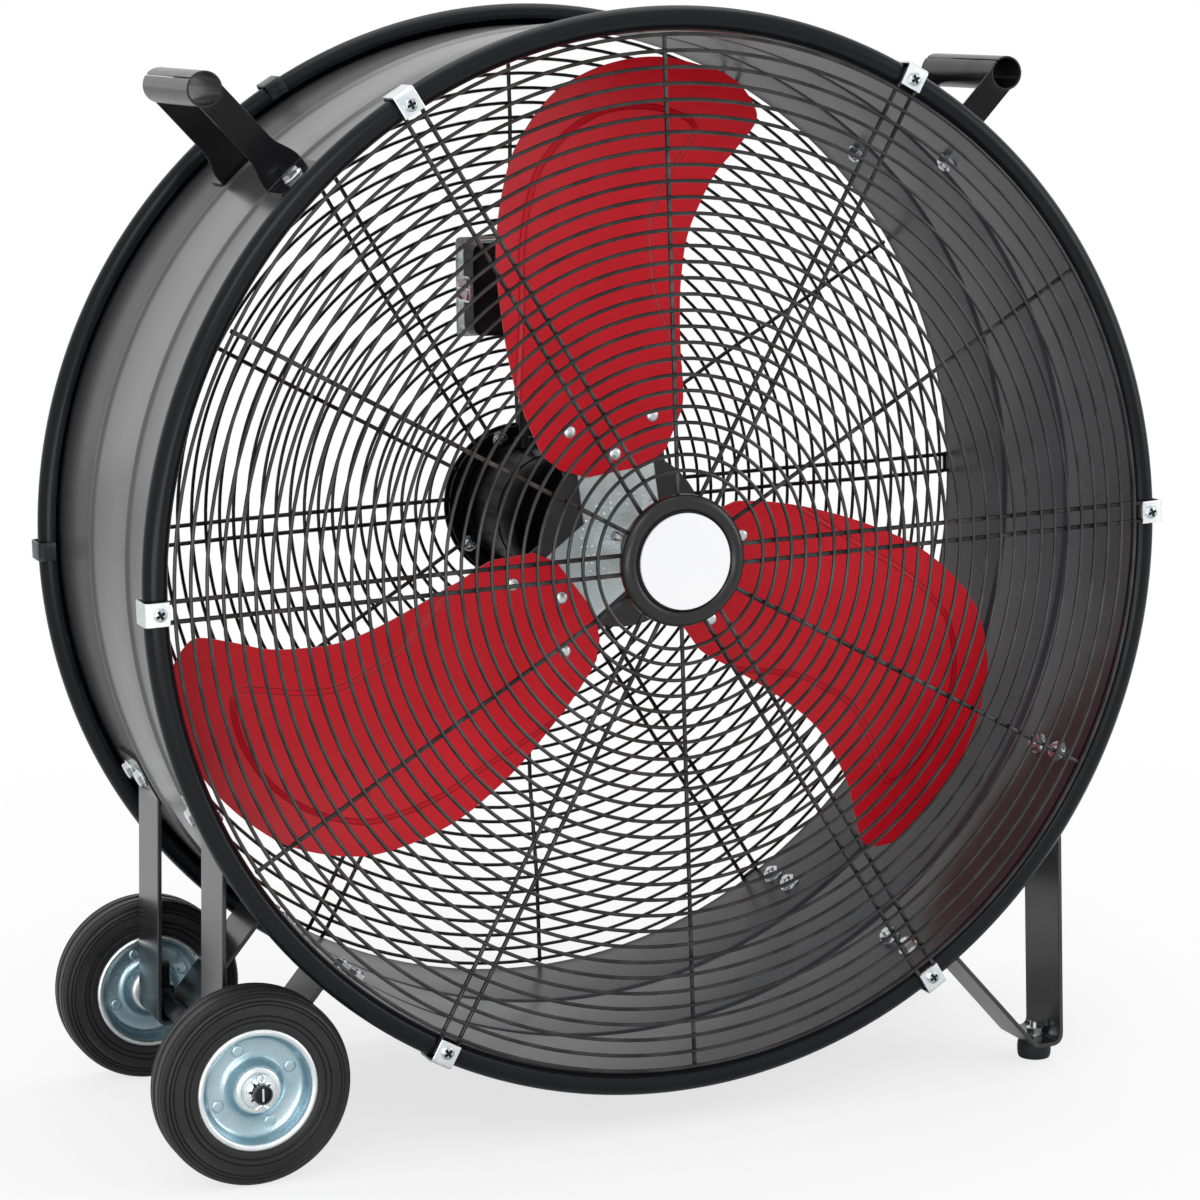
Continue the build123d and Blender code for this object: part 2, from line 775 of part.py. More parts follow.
def main():
    os.makedirs("parts", exist_ok=True)
    write(make_drum(), "drum")
    write(make_guard(-1, 0, front_ring_span, front_ring_count), "front_guard")
    write(make_guard(1, rear_guard_bulge, rear_ring_span, rear_ring_count), "rear_guard")
    write(make_clips(-1), "front_guard_clips")
    write(make_clips(1), "rear_guard_clips")
    write(make_hub_cap(), "hub_cap")
    write(make_badge(), "hub_cap_disc")
    write(make_centre_plate(), "guard_centre_plate")
    for number, blade in enumerate(make_blades(), 1):
        write(blade, "blade_%d" % number)
    write(make_trefoil(), "blade_trefoil_plate")
    write(make_spider(), "blade_spider")
    write(make_boss(), "hub_boss")
    write(make_hub_flange(), "hub_flange")
    write(make_rivets(), "blade_rivets")
    write(make_set_screw(), "hub_set_screw")
    write(make_shaft(), "motor_shaft")
    write(make_motor_shell(), "motor_shell")
    write(make_motor_bell(), "motor_bell")
    write(make_motor_screws(), "motor_screws")
    write(make_switch_box(), "switch_box")
    write(make_switch_plate(), "switch_plate")
    write(make_rotary_switch(), "rotary_switch")
    write(make_knob(), "speed_knob")
    write(make_lead_gland(), "motor_lead_gland")
    write(make_motor_lead(), "motor_lead")
    handle_angles = {"right": grip_angle, "left": 180 - grip_angle}
    bolts = []
    nuts = []
    for name, angle in handle_angles.items():
        write(around(make_grip(), angle), "handle_%s_grip" % name)
        write(around(make_handle_legs(), angle), "handle_%s_legs" % name)
        bolts += make_handle_bolts(angle)
        nuts += [make_drum_nut(angle, side * handle_bolt_offset) for side in (-1, 1)]
    write(group(bolts), "handle_bolts")
    write(group(nuts), "handle_nuts")
    for name, side in (("front", -1), ("rear", 1)):
        foot = make_bracket(foot_bracket[0], side * foot_bracket_offset, False)
        write(foot, "foot_bracket_%s" % name)
        bracket = make_bracket(wheel_bracket[0], side * wheel_bracket_offset, True)
        write(bracket, "wheel_bracket_%s" % name)
        write(make_rubber_foot(side), "rubber_foot_%s" % name)
        write(at_wheel(make_tyre(), side), "tyre_%s" % name)
        write(at_wheel(make_wheel_disc(), side), "wheel_disc_%s" % name)
        write(at_wheel(make_wheel_tube(), side), "wheel_tube_%s" % name)
    write(on_tabs(tab_bolt), "bracket_bolts")
    write(on_tabs(make_drum_nut), "bracket_nuts")
    write(pair(foot_stud, rubber_foot_centre, foot_bracket_offset), "foot_studs")
    write(pair(foot_nut, rubber_foot_centre, foot_bracket_offset), "foot_nuts")
    write(make_axle(), "axle")
    write(pair(axle_stud, -wheel_centre, wheel_bracket_offset), "axle_studs")
    write(pair(axle_nut, -wheel_centre, wheel_bracket_offset), "axle_nuts")
    write(group([at_wheel(make_washer(side), side) for side in (-1, 1)]), "axle_washers")


main()
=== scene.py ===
import math
import bmesh
import bpy
import numpy as np
from mathutils import Matrix, Quaternion, Vector


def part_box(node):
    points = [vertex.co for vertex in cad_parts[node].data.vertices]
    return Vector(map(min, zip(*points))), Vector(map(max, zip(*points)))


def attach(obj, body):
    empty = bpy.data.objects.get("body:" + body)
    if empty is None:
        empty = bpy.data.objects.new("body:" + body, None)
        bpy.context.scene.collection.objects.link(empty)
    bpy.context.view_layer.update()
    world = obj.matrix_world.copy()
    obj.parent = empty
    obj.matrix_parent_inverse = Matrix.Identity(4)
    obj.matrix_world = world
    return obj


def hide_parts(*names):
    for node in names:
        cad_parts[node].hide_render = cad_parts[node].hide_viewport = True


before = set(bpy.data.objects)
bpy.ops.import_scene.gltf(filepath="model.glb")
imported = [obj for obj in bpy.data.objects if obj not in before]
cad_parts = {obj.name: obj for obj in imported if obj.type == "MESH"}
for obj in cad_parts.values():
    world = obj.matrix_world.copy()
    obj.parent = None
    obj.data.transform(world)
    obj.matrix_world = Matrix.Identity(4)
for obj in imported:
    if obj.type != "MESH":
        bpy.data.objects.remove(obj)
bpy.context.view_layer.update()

# Drum fan on wheels. Shapes are drawn in millimetres about the fan's axis at mid depth
# (x to the right, y to the back, z up) and set into the frame when a piece is made.

scene = bpy.context.scene
drumLow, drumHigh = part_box("drum")
fanCentre = (drumLow + drumHigh) / 2
floorLevel = -fanCentre.z * 1000
ends = (("front", -1), ("rear", 1))  # the two ends of the drum and their direction along y
print("frame loaded, fan axis at", [round(c, 4) for c in fanCentre])


# shape tools: a shape is (points, faces)

def join(parts):
    points, faces, base = [], [], 0
    for partPoints, partFaces in parts:
        points.append(partPoints)
        faces += [tuple(i + base for i in face) for face in partFaces]
        base += len(partPoints)
    return np.vstack(points), faces


def moved(part, matrix):
    grid = np.array(matrix)
    return part[0] @ grid[:3, :3].T + grid[:3, 3], part[1]


def around(part, angle):  # turned about the fan axis, counter-clockwise from the front
    return moved(part, Matrix.Rotation(-math.radians(angle), 4, "Y"))


def shifted(part, x, y, z):
    return moved(part, Matrix.Translation((x, y, z)))


def flippedDepth(part):
    return moved(part, Matrix.Diagonal((1, -1, 1, 1)))


def flippedSide(part):
    return moved(part, Matrix.Diagonal((-1, 1, 1, 1)))


def polar(radius, turn):  # turn in radians
    return radius * math.cos(turn), radius * math.sin(turn)


def ringFaces(rings, count, loop=False, base=0):  # quads between rings of points given in order
    faces = []
    for i in range(rings if loop else rings - 1):
        a, b = base + i * count, base + (i + 1) % rings * count
        faces += [(a + j, a + (j + 1) % count, b + (j + 1) % count, b + j) for j in range(count)]
    return faces


def lathe(profile, steps=96, loop=False):  # (radius, depth) points turned about y
    turn = np.linspace(0, 2 * math.pi, steps, endpoint=False)
    rows = [np.stack([r * np.cos(turn), np.full(steps, y), r * np.sin(turn)], 1) for r, y in profile]
    count = len(profile)
    faces = ringFaces(count, steps, loop)
    if not loop:
        for i in (0, count - 1):
            if profile[i][0] > 0.01:
                faces.append(tuple(range(i * steps, (i + 1) * steps)))
    return np.concatenate(rows), faces


def circleSection(radius, sides):
    return [polar(radius, 2 * math.pi * i / sides) for i in range(sides)]


def cornerArc(x, y, size, start, step):  # quarter circle about x, y, drawn from start degrees
    return [(x + size * math.cos(a), y + size * math.sin(a))
            for a in (math.radians(start + turn) for turn in range(0, 91, step))]


quarters = ((1, 1, 0), (-1, 1, 90), (-1, -1, 180), (1, -1, 270))


def stripSection(halfWidth, halfSheet, edge, across=0):  # rounded corners, points across the wide faces
    section = []
    for sx, sy, start in quarters:
        section += cornerArc(sx * (halfWidth - edge), sy * (halfSheet - edge), edge, start, 45)
        if sx == sy:
            for k in range(1, across + 1):
                section.append((sx * (halfWidth - edge) * (1 - 2 * k / (across + 1)), sy * halfSheet))
    return section


def roundedBoard(width, height, corner):
    outline = []
    for sx, sy, start in quarters:
        outline += cornerArc(sx * (width / 2 - corner), sy * (height / 2 - corner), corner, start, 18)
    return outline


def stripEnd(across):  # faces that close a strip whose end is cut to a curve
    last = 11 + 2 * across
    faces = [(2 + k, 3 + k, last - 3 - k, last - 2 - k) for k in range(across + 1)]
    return faces + [(last - 2, last - 1, last, 0, 1, 2), tuple(range(3 + across, 9 + across))]


def sweep(path, sections, side, loop=False):  # side is square to the plane of the path
    path = np.array(path, float)
    side = np.array(side, float)
    if loop:
        along = np.roll(path, -1, 0) - np.roll(path, 1, 0)
    else:
        along = np.gradient(path, axis=0)
    along /= np.linalg.norm(along, axis=1)[:, None]
    normal = np.cross(along, side)
    if not isinstance(sections[0], list):
        sections = [sections] * len(path)
    count = len(sections[0])
    points = []
    for p, n, section in zip(path, normal, sections):
        points += [p + side * u + n * v for u, v in section]
    rows = len(path)
    faces = ringFaces(rows, count, loop)
    if not loop:
        faces += [tuple(range(count)), tuple(range((rows - 1) * count, rows * count))]
    return np.array(points), faces


def rounded(corners, radii, steps=6):  # plane line with its bends filleted
    line = [Vector(corners[0])]
    for before, corner, after, radius in zip(corners, corners[1:], corners[2:], radii):
        corner = Vector(corner)
        a, b = (Vector(before) - corner), (Vector(after) - corner)
        half = a.angle(b) / 2
        cut = min(radius / math.tan(half), a.length * 0.48, b.length * 0.48)
        start, end = corner + a.normalized() * cut, corner + b.normalized() * cut
        for k in range(steps + 1):
            t = k / steps
            point = start * (1 - t) ** 2 + corner * (2 * t * (1 - t)) + end * t ** 2
            if (point - line[-1]).length > 0.05:
                line.append(point)
    line.append(Vector(corners[-1]))
    return line


def slab(outline, low, high, edge):  # flat outline in x, y, thickened in z, edges eased
    ring = np.array(outline, float)
    ahead = np.roll(ring, -1, 0) - np.roll(ring, 1, 0)
    outward = np.stack([ahead[:, 1], -ahead[:, 0]], 1)
    outward /= np.linalg.norm(outward, axis=1)[:, None]
    area = np.sum(ring[:, 0] * np.roll(ring[:, 1], -1) - ring[:, 1] * np.roll(ring[:, 0], -1))
    outward *= 1 if area > 0 else -1
    inner = ring - outward * edge
    levels = [(inner, low), (ring, low + edge), (ring, high - edge), (inner, high)]
    count = len(ring)
    points = np.concatenate([np.column_stack([flat, np.full(count, z)]) for flat, z in levels])
    return points, ringFaces(4, count) + [tuple(range(count)), tuple(range(3 * count, 4 * count))]


def frontSlab(outline, front, rear, edge):  # outline seen from the front
    points, faces = slab(outline, 0, rear - front, edge)
    return np.column_stack([points[:, 0], front + points[:, 2], points[:, 1]]), faces


def frontBoard(width, height, corner, front, rear, edge):
    return frontSlab(roundedBoard(width, height, corner), front, rear, edge)


def facing(part, x, depth, z, side):  # drawn along +z, turned to face the front or the back
    return moved(part, Matrix.Translation((x, depth, z)) @ Matrix.Rotation(side * -math.pi / 2, 4, "X"))


def circleOf(part, radius, turns, depth, side):  # copies in a circle, at turns in degrees
    places = [polar(radius, math.radians(turn)) for turn in turns]
    return [facing(part, x, depth, z, side) for x, z in places]


def onDrum(part, angle, radius, depth):  # drawn along +z, stood on a cylinder about the fan axis
    stand = Matrix.Translation((radius, depth, 0)) @ Matrix.Rotation(math.pi / 2, 4, "Y")
    return around(moved(part, stand), angle)


def makePiece(name, part, finish, stands=(), crease=38, body="stand"):
    mesh = bpy.data.meshes.new(name)
    mesh.from_pydata((part[0] / 1000 + np.array(fanCentre)).tolist(), [], part[1])
    cleaner = bmesh.new()
    cleaner.from_mesh(mesh)
    bmesh.ops.remove_doubles(cleaner, verts=cleaner.verts, dist=2e-6)
    bmesh.ops.recalc_face_normals(cleaner, faces=cleaner.faces)
    for face in cleaner.faces:
        face.smooth = True
    cleaner.to_mesh(mesh)
    cleaner.free()
    mesh.set_sharp_from_angle(angle=math.radians(crease))
    piece = bpy.data.objects.new(name, mesh)
    scene.collection.objects.link(piece)
    mesh.materials.append(finishes[finish])
    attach(piece, body)
    if stands:
        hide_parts(*stands)
    return piece


def repaint(piece, middle, more, pick):  # pick says which finish a face takes
    for name in more:
        piece.data.materials.append(finishes[name])
    for face in piece.data.polygons:
        out = (face.center - middle) * 1000
        inward = face.normal.x * out.x + face.normal.z * out.z < 0
        face.material_index = int(pick(out, inward))


def fastenerSet(name, finish, **sets):  # each list of parts becomes one piece
    for kind, parts in sets.items():
        makePiece(name + kind.title(), join(parts), finish, [f"{name}_{kind}"])


def dress(node, finish):  # a CAD node that stays gets a finish of its own
    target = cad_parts[node]
    target.data.materials.clear()
    target.data.materials.append(finishes[finish])


# camera

camera = dict(azimuth=-22.5, elevation=7.1, roll=-0.45, distance=2.905, lens=107.52, shift=-0.15,
              target=(0.0029, 0.0, 0.0896))
lookAt = fanCentre + Vector(camera["target"])
az, el = math.radians(camera["azimuth"]), math.radians(camera["elevation"])
back = Vector((math.sin(az) * math.cos(el), -math.cos(az) * math.cos(el), math.sin(el)))
cameraData = bpy.data.cameras.new("photoCamera")
cameraData.sensor_width = 36
cameraData.lens = camera["lens"]
cameraData.shift_y = camera["shift"]
cameraObject = bpy.data.objects.new("photoCamera", cameraData)
cameraObject.location = lookAt + back * camera["distance"]
cameraObject.rotation_mode = "QUATERNION"
aim = (-back).to_track_quat("-Z", "Y")
cameraObject.rotation_quaternion = Quaternion(back, math.radians(camera["roll"])) @ aim
scene.collection.objects.link(cameraObject)
scene.camera = cameraObject


# node groups shared by the finishes

def startGroup(name, inputs, outputs=("Color",)):  # inputs are given with their usual values
    tree = bpy.data.node_groups.new(name, "ShaderNodeTree")
    for label, value in inputs.items():
        kind = "NodeSocketColor" if isinstance(value, tuple) else "NodeSocketFloat"
        tree.interface.new_socket(label, in_out="INPUT", socket_type=kind).default_value = value
    for label in outputs:
        kind = "NodeSocketColor" if label == "Color" else "NodeSocketFloat"
        tree.interface.new_socket(label, in_out="OUTPUT", socket_type=kind)
    return tree, tree.nodes.new("NodeGroupInput").outputs, tree.nodes.new("NodeGroupOutput").inputs


def put(tree, kind, links=(), **values):
    node = tree.nodes.new("ShaderNode" + kind)
    for key, value in values.items():
        setattr(node, key, value)
    for socket, source in links:
        if hasattr(source, "is_linked"):
            tree.links.new(source, node.inputs[socket])
        else:
            node.inputs[socket].default_value = source
    return node


def calc(tree, operation, *values):
    return put(tree, "Math", enumerate(values), operation=operation).outputs[0]


def ramp(tree, value, low=0.0, high=1.0, start=0.0, end=1.0):
    return put(tree, "MapRange", [("Value", value), ("From Min", low), ("From Max", high),
                                  ("To Min", start), ("To Max", end)]).outputs[0]


def noiseAt(tree, scale, detail=3.0):
    place = put(tree, "TexCoord").outputs["Object"]
    return put(tree, "TexNoise", [("Vector", place), ("Scale", scale), ("Detail", detail)]).outputs["Fac"]


def blendColour(tree, amount, first, second):
    node = put(tree, "Mix", data_type="RGBA")
    for socket, source in ((0, amount), (6, first), (7, second)):
        tree.links.new(source, node.inputs[socket])
    return node.outputs[2]


def spreadRoughness(tree, given, result, pattern, middle):  # gloss that follows a pattern
    rough = calc(tree, "MULTIPLY_ADD", calc(tree, "SUBTRACT", pattern, middle), given["Spread"],
                 given["Roughness"])
    tree.links.new(rough, result["Roughness"])


coatOutputs = ("Color", "Roughness", "Height")


def sprayedCoat():
    tree, given, result = startGroup(
        "sprayedCoat",
        {"Color": (0.02, 0.02, 0.02, 1), "Shade": (0.01, 0.01, 0.01, 1), "Mottle Scale": 8.0,
         "Roughness": 0.3, "Spread": 0.1, "Peel Scale": 700.0}, coatOutputs)
    mottle = noiseAt(tree, given["Mottle Scale"], 4.0)
    spot = ramp(tree, mottle, 0.35, 0.68)
    tree.links.new(blendColour(tree, spot, given["Color"], given["Shade"]), result["Color"])
    spreadRoughness(tree, given, result, mottle, 0.5)
    tree.links.new(noiseAt(tree, given["Peel Scale"], 2.0), result["Height"])
    return tree


# worn colour on chipped ridges, and painted shade darkening the hollows
def wearAndCreaseShade():
    tree, given, result = startGroup(
        "wearAndCreaseShade",
        {"Color": (0.02, 0.02, 0.02, 1), "Worn": (0.2, 0.2, 0.2, 1), "Amount": 0.4, "Scale": 40.0,
         "Crease Shade": (0.008, 0.008, 0.009, 1), "Crease Shade Amount": 0.0})
    point = put(tree, "NewGeometry").outputs["Pointiness"]
    ridge = ramp(tree, point, 0.52, 0.62)
    chips = ramp(tree, noiseAt(tree, given["Scale"], 5.0), 0.42, 0.62)
    mask = calc(tree, "MULTIPLY", calc(tree, "MULTIPLY", ridge, chips), given["Amount"])
    worn = blendColour(tree, mask, given["Color"], given["Worn"])
    # painted shade: the colour darkens in hollows and creases, where the pointiness is low
    creaseShade = calc(tree, "MULTIPLY", ramp(tree, point, 0.47, 0.37), given["Crease Shade Amount"])
    tree.links.new(blendColour(tree, creaseShade, worn, given["Crease Shade"]), result["Color"])
    return tree


def zincPlate():
    tree, given, result = startGroup(
        "zincPlate",
        {"Color": (0.6, 0.65, 0.66, 1), "Bloom": (0.45, 0.52, 0.56, 1), "Bloom Scale": 30.0,
         "Roughness": 0.3, "Spread": 0.2, "Grain Scale": 900.0}, coatOutputs)
    bloom = noiseAt(tree, given["Bloom Scale"], 3.0)
    spot = ramp(tree, bloom, 0.38, 0.62)
    tree.links.new(blendColour(tree, spot, given["Color"], given["Bloom"]), result["Color"])
    place = put(tree, "TexCoord").outputs["Object"]
    cells = put(tree, "TexVoronoi", [("Vector", place), ("Scale", given["Grain Scale"])])
    spreadRoughness(tree, given, result, cells.outputs["Distance"], 0.35)
    tree.links.new(cells.outputs["Distance"], result["Height"])
    return tree


def dustFilm():
    tree, given, result = startGroup(
        "dustFilm",
        {"Color": (0.02, 0.02, 0.02, 1), "Dust": (0.2, 0.19, 0.18, 1), "Amount": 0.05, "Scale": 5.0})
    cloud = ramp(tree, noiseAt(tree, given["Scale"], 6.0), 0.4, 0.75)
    mask = calc(tree, "MULTIPLY", cloud, given["Amount"])
    tree.links.new(blendColour(tree, mask, given["Color"], given["Dust"]), result["Color"])
    return tree


def pressShadeLine():  # painted shade: darker colour in the two bends of a pressed step
    tree, given, result = startGroup(
        "pressShadeLine",
        {"Color": (0.5, 0.01, 0.02, 1), "Line": (0.1, 0.002, 0.004, 1), "Distance": 10.0, "Bend": 2.0,
         "Width": 0.8, "Amount": 0.6})
    gap = calc(tree, "SUBTRACT", calc(tree, "ABSOLUTE", given["Distance"]), given["Bend"])
    near = ramp(tree, calc(tree, "ABSOLUTE", gap), 0.0, given["Width"], 1.0, 0.0)
    mask = calc(tree, "MULTIPLY", near, given["Amount"])
    tree.links.new(blendColour(tree, mask, given["Color"], given["Line"]), result["Color"])
    return tree


groups = {"spray": sprayedCoat(), "wear": wearAndCreaseShade(), "zinc": zincPlate(), "dust": dustFilm(),
          "line": pressShadeLine()}


finishes = {}
greyWorn = (0.16, 0.16, 0.165)


def finish(name, colour, second, worn=greyWorn, base="spray", wear=0.3, dust=0.03, scale=8.0, roughness=0.3,
           spread=0.1, grain=700.0, bump=0.05, metallic=0.0, coat=0.0, coatRoughness=0.1, specular=0.5,
           creaseShade=0.0):
    material = bpy.data.materials.new(name)
    material.use_nodes = True
    tree = material.node_tree
    shader = tree.nodes["Principled BSDF"]
    for socket, value in (("Metallic", metallic), ("Coat Weight", coat), ("Coat Roughness", coatRoughness),
                          ("Specular IOR Level", specular)):
        shader.inputs[socket].default_value = value
    labels = {"zinc": ("Bloom", "Bloom Scale", "Grain Scale"),
              "spray": ("Shade", "Mottle Scale", "Peel Scale")}[base]
    first = put(tree, "Group", [("Color", (*colour, 1)), *zip(labels, ((*second, 1), scale, grain)),
                                ("Roughness", roughness), ("Spread", spread)], node_tree=groups[base])
    worked = put(tree, "Group", [("Color", first.outputs["Color"]), ("Worn", (*worn, 1)), ("Amount", wear),
                                 ("Crease Shade Amount", creaseShade)], node_tree=groups["wear"])
    film = put(tree, "Group", [("Color", worked.outputs["Color"]), ("Amount", dust)],
               node_tree=groups["dust"])
    relief = put(tree, "Bump", [("Height", first.outputs["Height"]), ("Strength", bump),
                                ("Distance", 0.001)])
    for socket, source in (("Base Color", film.outputs["Color"]), ("Normal", relief.outputs[0]),
                           ("Roughness", first.outputs["Roughness"])):
        tree.links.new(source, shader.inputs[socket])
    finishes[name] = material


finish("drumPaint", (0.05, 0.05, 0.052), (0.038, 0.038, 0.04), wear=0.15, spread=0.08, coat=0.4,
       coatRoughness=0.2, dust=0.02, specular=0.6)
finish("drumInside", (0.046, 0.048, 0.054), (0.036, 0.038, 0.043), wear=0.1, spread=0.08, dust=0.02,
       specular=0.34)
# the drum's own paint made darker: painted shade on the rolled rims
finish("shadedBeadPaint", (0.007, 0.008, 0.01), (0.005, 0.0055, 0.007), wear=0.08, roughness=0.24, bump=0.06,
       specular=0.14, dust=0.01)
# a lighter copy of the black wire paint, painted light on the front rings
finish("ringWire", (0.014, 0.013, 0.013), (0.009, 0.0085, 0.0085), scale=25, roughness=0.26, specular=0.26)
finish("spokeWire", (0.009, 0.009, 0.01), (0.006, 0.006, 0.007), scale=25, roughness=0.26, specular=0.2)
finish("bladePaint", (0.6, 0.0075, 0.019), (0.53, 0.006, 0.015), (0.7, 0.2, 0.16), wear=0.06, spread=0.06,
       specular=0.2, dust=0.01)
# this zinc takes painted shade in its hollows
finish("brightZinc", (0.8, 0.84, 0.85), (0.66, 0.72, 0.74), (0.88, 0.9, 0.9), base="zinc", scale=60,
       roughness=0.28, spread=0.15, grain=1400, bump=0.08, metallic=1.0, creaseShade=0.45)
# screw heads take strong painted shade in their hollows
finish("screwZinc", (0.5, 0.55, 0.56), (0.34, 0.39, 0.41), (0.9, 0.92, 0.92), base="zinc", wear=0.6,
       scale=90, roughness=0.22, spread=0.15, grain=1400, bump=0.12, metallic=1.0, creaseShade=0.97)
finish("trefoilZinc", (0.72, 0.77, 0.77), (0.53, 0.6, 0.61), (0.85, 0.86, 0.85), base="zinc", scale=22,
       roughness=0.38, spread=0.2, bump=0.12, metallic=0.7)
finish("wheelZinc", (0.5, 0.63, 0.69), (0.33, 0.47, 0.53), (0.85, 0.9, 0.92), base="zinc", wear=0.4,
       scale=18, roughness=0.28, spread=0.15, grain=1100, bump=0.06, metallic=0.95)
finish("capPlastic", (0.014, 0.014, 0.015), (0.01, 0.01, 0.011), wear=0.06, roughness=0.27, bump=0.03,
       specular=0.32, dust=0.005)
# a dark finish for the pressed crosses of the screws: painted shade in the recess
finish("crossRecessShade", (0.012, 0.014, 0.016), (0.02, 0.022, 0.024), wear=0.0, scale=60, roughness=0.6,
       specular=0.1)
finish("gripPaint", (0.013, 0.013, 0.014), (0.009, 0.009, 0.01), wear=0.2, roughness=0.24, spread=0.08,
       specular=0.4, dust=0.02)
finish("discEnamel", (0.74, 0.74, 0.75), (0.7, 0.705, 0.715), (0.6, 0.6, 0.6), wear=0.1, scale=12,
       roughness=0.36, bump=0.03, dust=0.02, specular=0.3)
finish("motorPaint", (0.003, 0.003, 0.0035), (0.002, 0.002, 0.0025), wear=0.1, bump=0.1, grain=420,
       specular=0.05, dust=0.005)
finish("boxPlastic", (0.005, 0.005, 0.006), (0.003, 0.003, 0.004), wear=0.1, roughness=0.36, bump=0.2,
       grain=900, specular=0.1, dust=0.01)
finish("lensRed", (0.34, 0.03, 0.05), (0.2, 0.02, 0.03), (0.6, 0.5, 0.5), scale=90, roughness=0.12,
       bump=0.1, coat=0.6)
finish("bracketPaint", (0.016, 0.016, 0.017), (0.011, 0.011, 0.012), wear=0.2, roughness=0.22, spread=0.08,
       coat=0.2, coatRoughness=0.12, dust=0.02)
finish("handlePaint", (0.009, 0.009, 0.01), (0.006, 0.006, 0.007), wear=0.15, roughness=0.2, spread=0.08,
       specular=0.14, dust=0.01)
finish("spiderPaint", (0.03, 0.03, 0.032), (0.022, 0.022, 0.024), wear=0.25, roughness=0.42, bump=0.15,
       grain=500, specular=0.3)
finish("bossSteel", (0.72, 0.74, 0.74), (0.56, 0.58, 0.59), (0.8, 0.8, 0.8), base="zinc", scale=70,
       roughness=0.26, spread=0.15, bump=0.15, metallic=1.0)
finish("tyreRubber", (0.011, 0.011, 0.012), (0.017, 0.017, 0.018), (0.05, 0.05, 0.05), scale=14,
       roughness=0.4, spread=0.15, bump=0.2, grain=500, specular=0.26)
finish("footRubber", (0.012, 0.013, 0.015), (0.018, 0.019, 0.021), (0.1, 0.1, 0.1), scale=30, roughness=0.5,
       bump=0.3, grain=600, dust=0.04, specular=0.2)
finish("darkStud", (0.012, 0.014, 0.016), (0.008, 0.01, 0.012), (0.3, 0.32, 0.33), wear=0.5, scale=60,
       metallic=0.3, specular=0.3)
finish("leadRubber", (0.01, 0.01, 0.011), (0.007, 0.007, 0.008), roughness=0.5, scale=40, bump=0.15,
       specular=0.2)


def addPressShadeLines(name, line, amount):
    tree = finishes[name].node_tree
    colour = tree.nodes["Principled BSDF"].inputs["Base Color"]
    distance = put(tree, "Attribute", attribute_name="pressDistance").outputs["Fac"]
    pressed = put(tree, "Group", [("Color", colour.links[0].from_socket), ("Distance", distance),
                                  ("Line", (*line, 1)), ("Amount", amount)], node_tree=groups["line"])
    tree.links.new(pressed.outputs["Color"], colour)


# the blades take painted shade along both bends of the press line
addPressShadeLines("bladePaint", (0.07, 0.001, 0.003), 0.8)
print("finishes made:", len(finishes))


# drum: rolled sheet with two swages and a rolled bead at each rim

drum = dict(wall=405.5, sheet=1.2, rim=415.0, bead=9.5, halfDepth=158.0, swages=(-53.0, 53.0),
            swageHalf=6.0, swageRise=2.5, plainFrom=100.0, rimEdge=4.5, steps=256)
drumOuter = drum["wall"] + drum["sheet"]


def wallLine(radius, halfDepth):
    plain = drum["plainFrom"]
    line = [(radius, -halfDepth), (radius, -plain)]
    for centre in drum["swages"]:
        for j in range(-6, 7):
            y = centre + drum["swageHalf"] * j / 6
            line.append((radius + drum["swageRise"] * (1 + math.cos(math.pi * j / 6)) / 2, y))
        line.append((radius, 0 if centre < 0 else plain))
    return line + [(radius, halfDepth)]


def beadArc(side, size):
    arc = []
    for a in range(12, 291, 12):
        t = math.radians(a)
        arc.append((drum["rim"] - size * math.cos(t), side * (drum["halfDepth"] + size * math.sin(t))))
    return arc


def drumSheet():
    half, bead = drum["halfDepth"], drum["bead"]
    thin = bead - drum["sheet"]
    line = beadArc(-1, thin)[::-1] + wallLine(drumOuter, half) + beadArc(1, thin)
    line += beadArc(1, bead)[::-1] + wallLine(drum["wall"], half)[::-1] + beadArc(-1, bead)
    return lathe(line, drum["steps"], loop=True)


def drumFinish(out, inward):  # the rolled rims take a darker copy of the paint, painted shade, and the inside is duller
    depth, reach = abs(out.y), math.hypot(out.x, out.z)
    rolled = reach > drum["rim"] - drum["rimEdge"] and depth > drum["plainFrom"]
    if rolled or depth > drum["halfDepth"] + 0.5:
        return 1
    return 2 * inward


drumPiece = makePiece("drumShell", drumSheet(), "drumPaint", ["drum"], 50)
repaint(drumPiece, fanCentre, ["shadedBeadPaint", "drumInside"], drumFinish)
print("drum made")


# wire guards

guard = dict(depth=163.5, ringWire=1.5, spokeWire=1.8, weld=0.4, outerRing=403.0, pitch=12.35,
             frontRings=28, rearRings=27, pair=7.5, turn=1.5, inner=46.0, bulge=8.0, bulgeOuter=330.0,
             bulgeInner=250.0, singleEnd=404.5, bendFrom=402.0, bendTo=410.5, bendRise=4.0, pairEnd=421.0)
pairTurns = [guard["turn"] + 60 * k for k in range(6)]


def ringWire(radius, depth):
    steps = 160 if radius > 200 else 96
    turn = np.linspace(0, 2 * math.pi, steps, endpoint=False)
    path = np.stack([radius * np.cos(turn), np.full(steps, depth), radius * np.sin(turn)], 1)
    return sweep(path, circleSection(guard["ringWire"], 8), (0, 1, 0), loop=True)


def bulgeAt(radius, bulge):
    t = (guard["bulgeOuter"] - radius) / (guard["bulgeOuter"] - guard["bulgeInner"])
    return bulge * min(1.0, max(0.0, t))


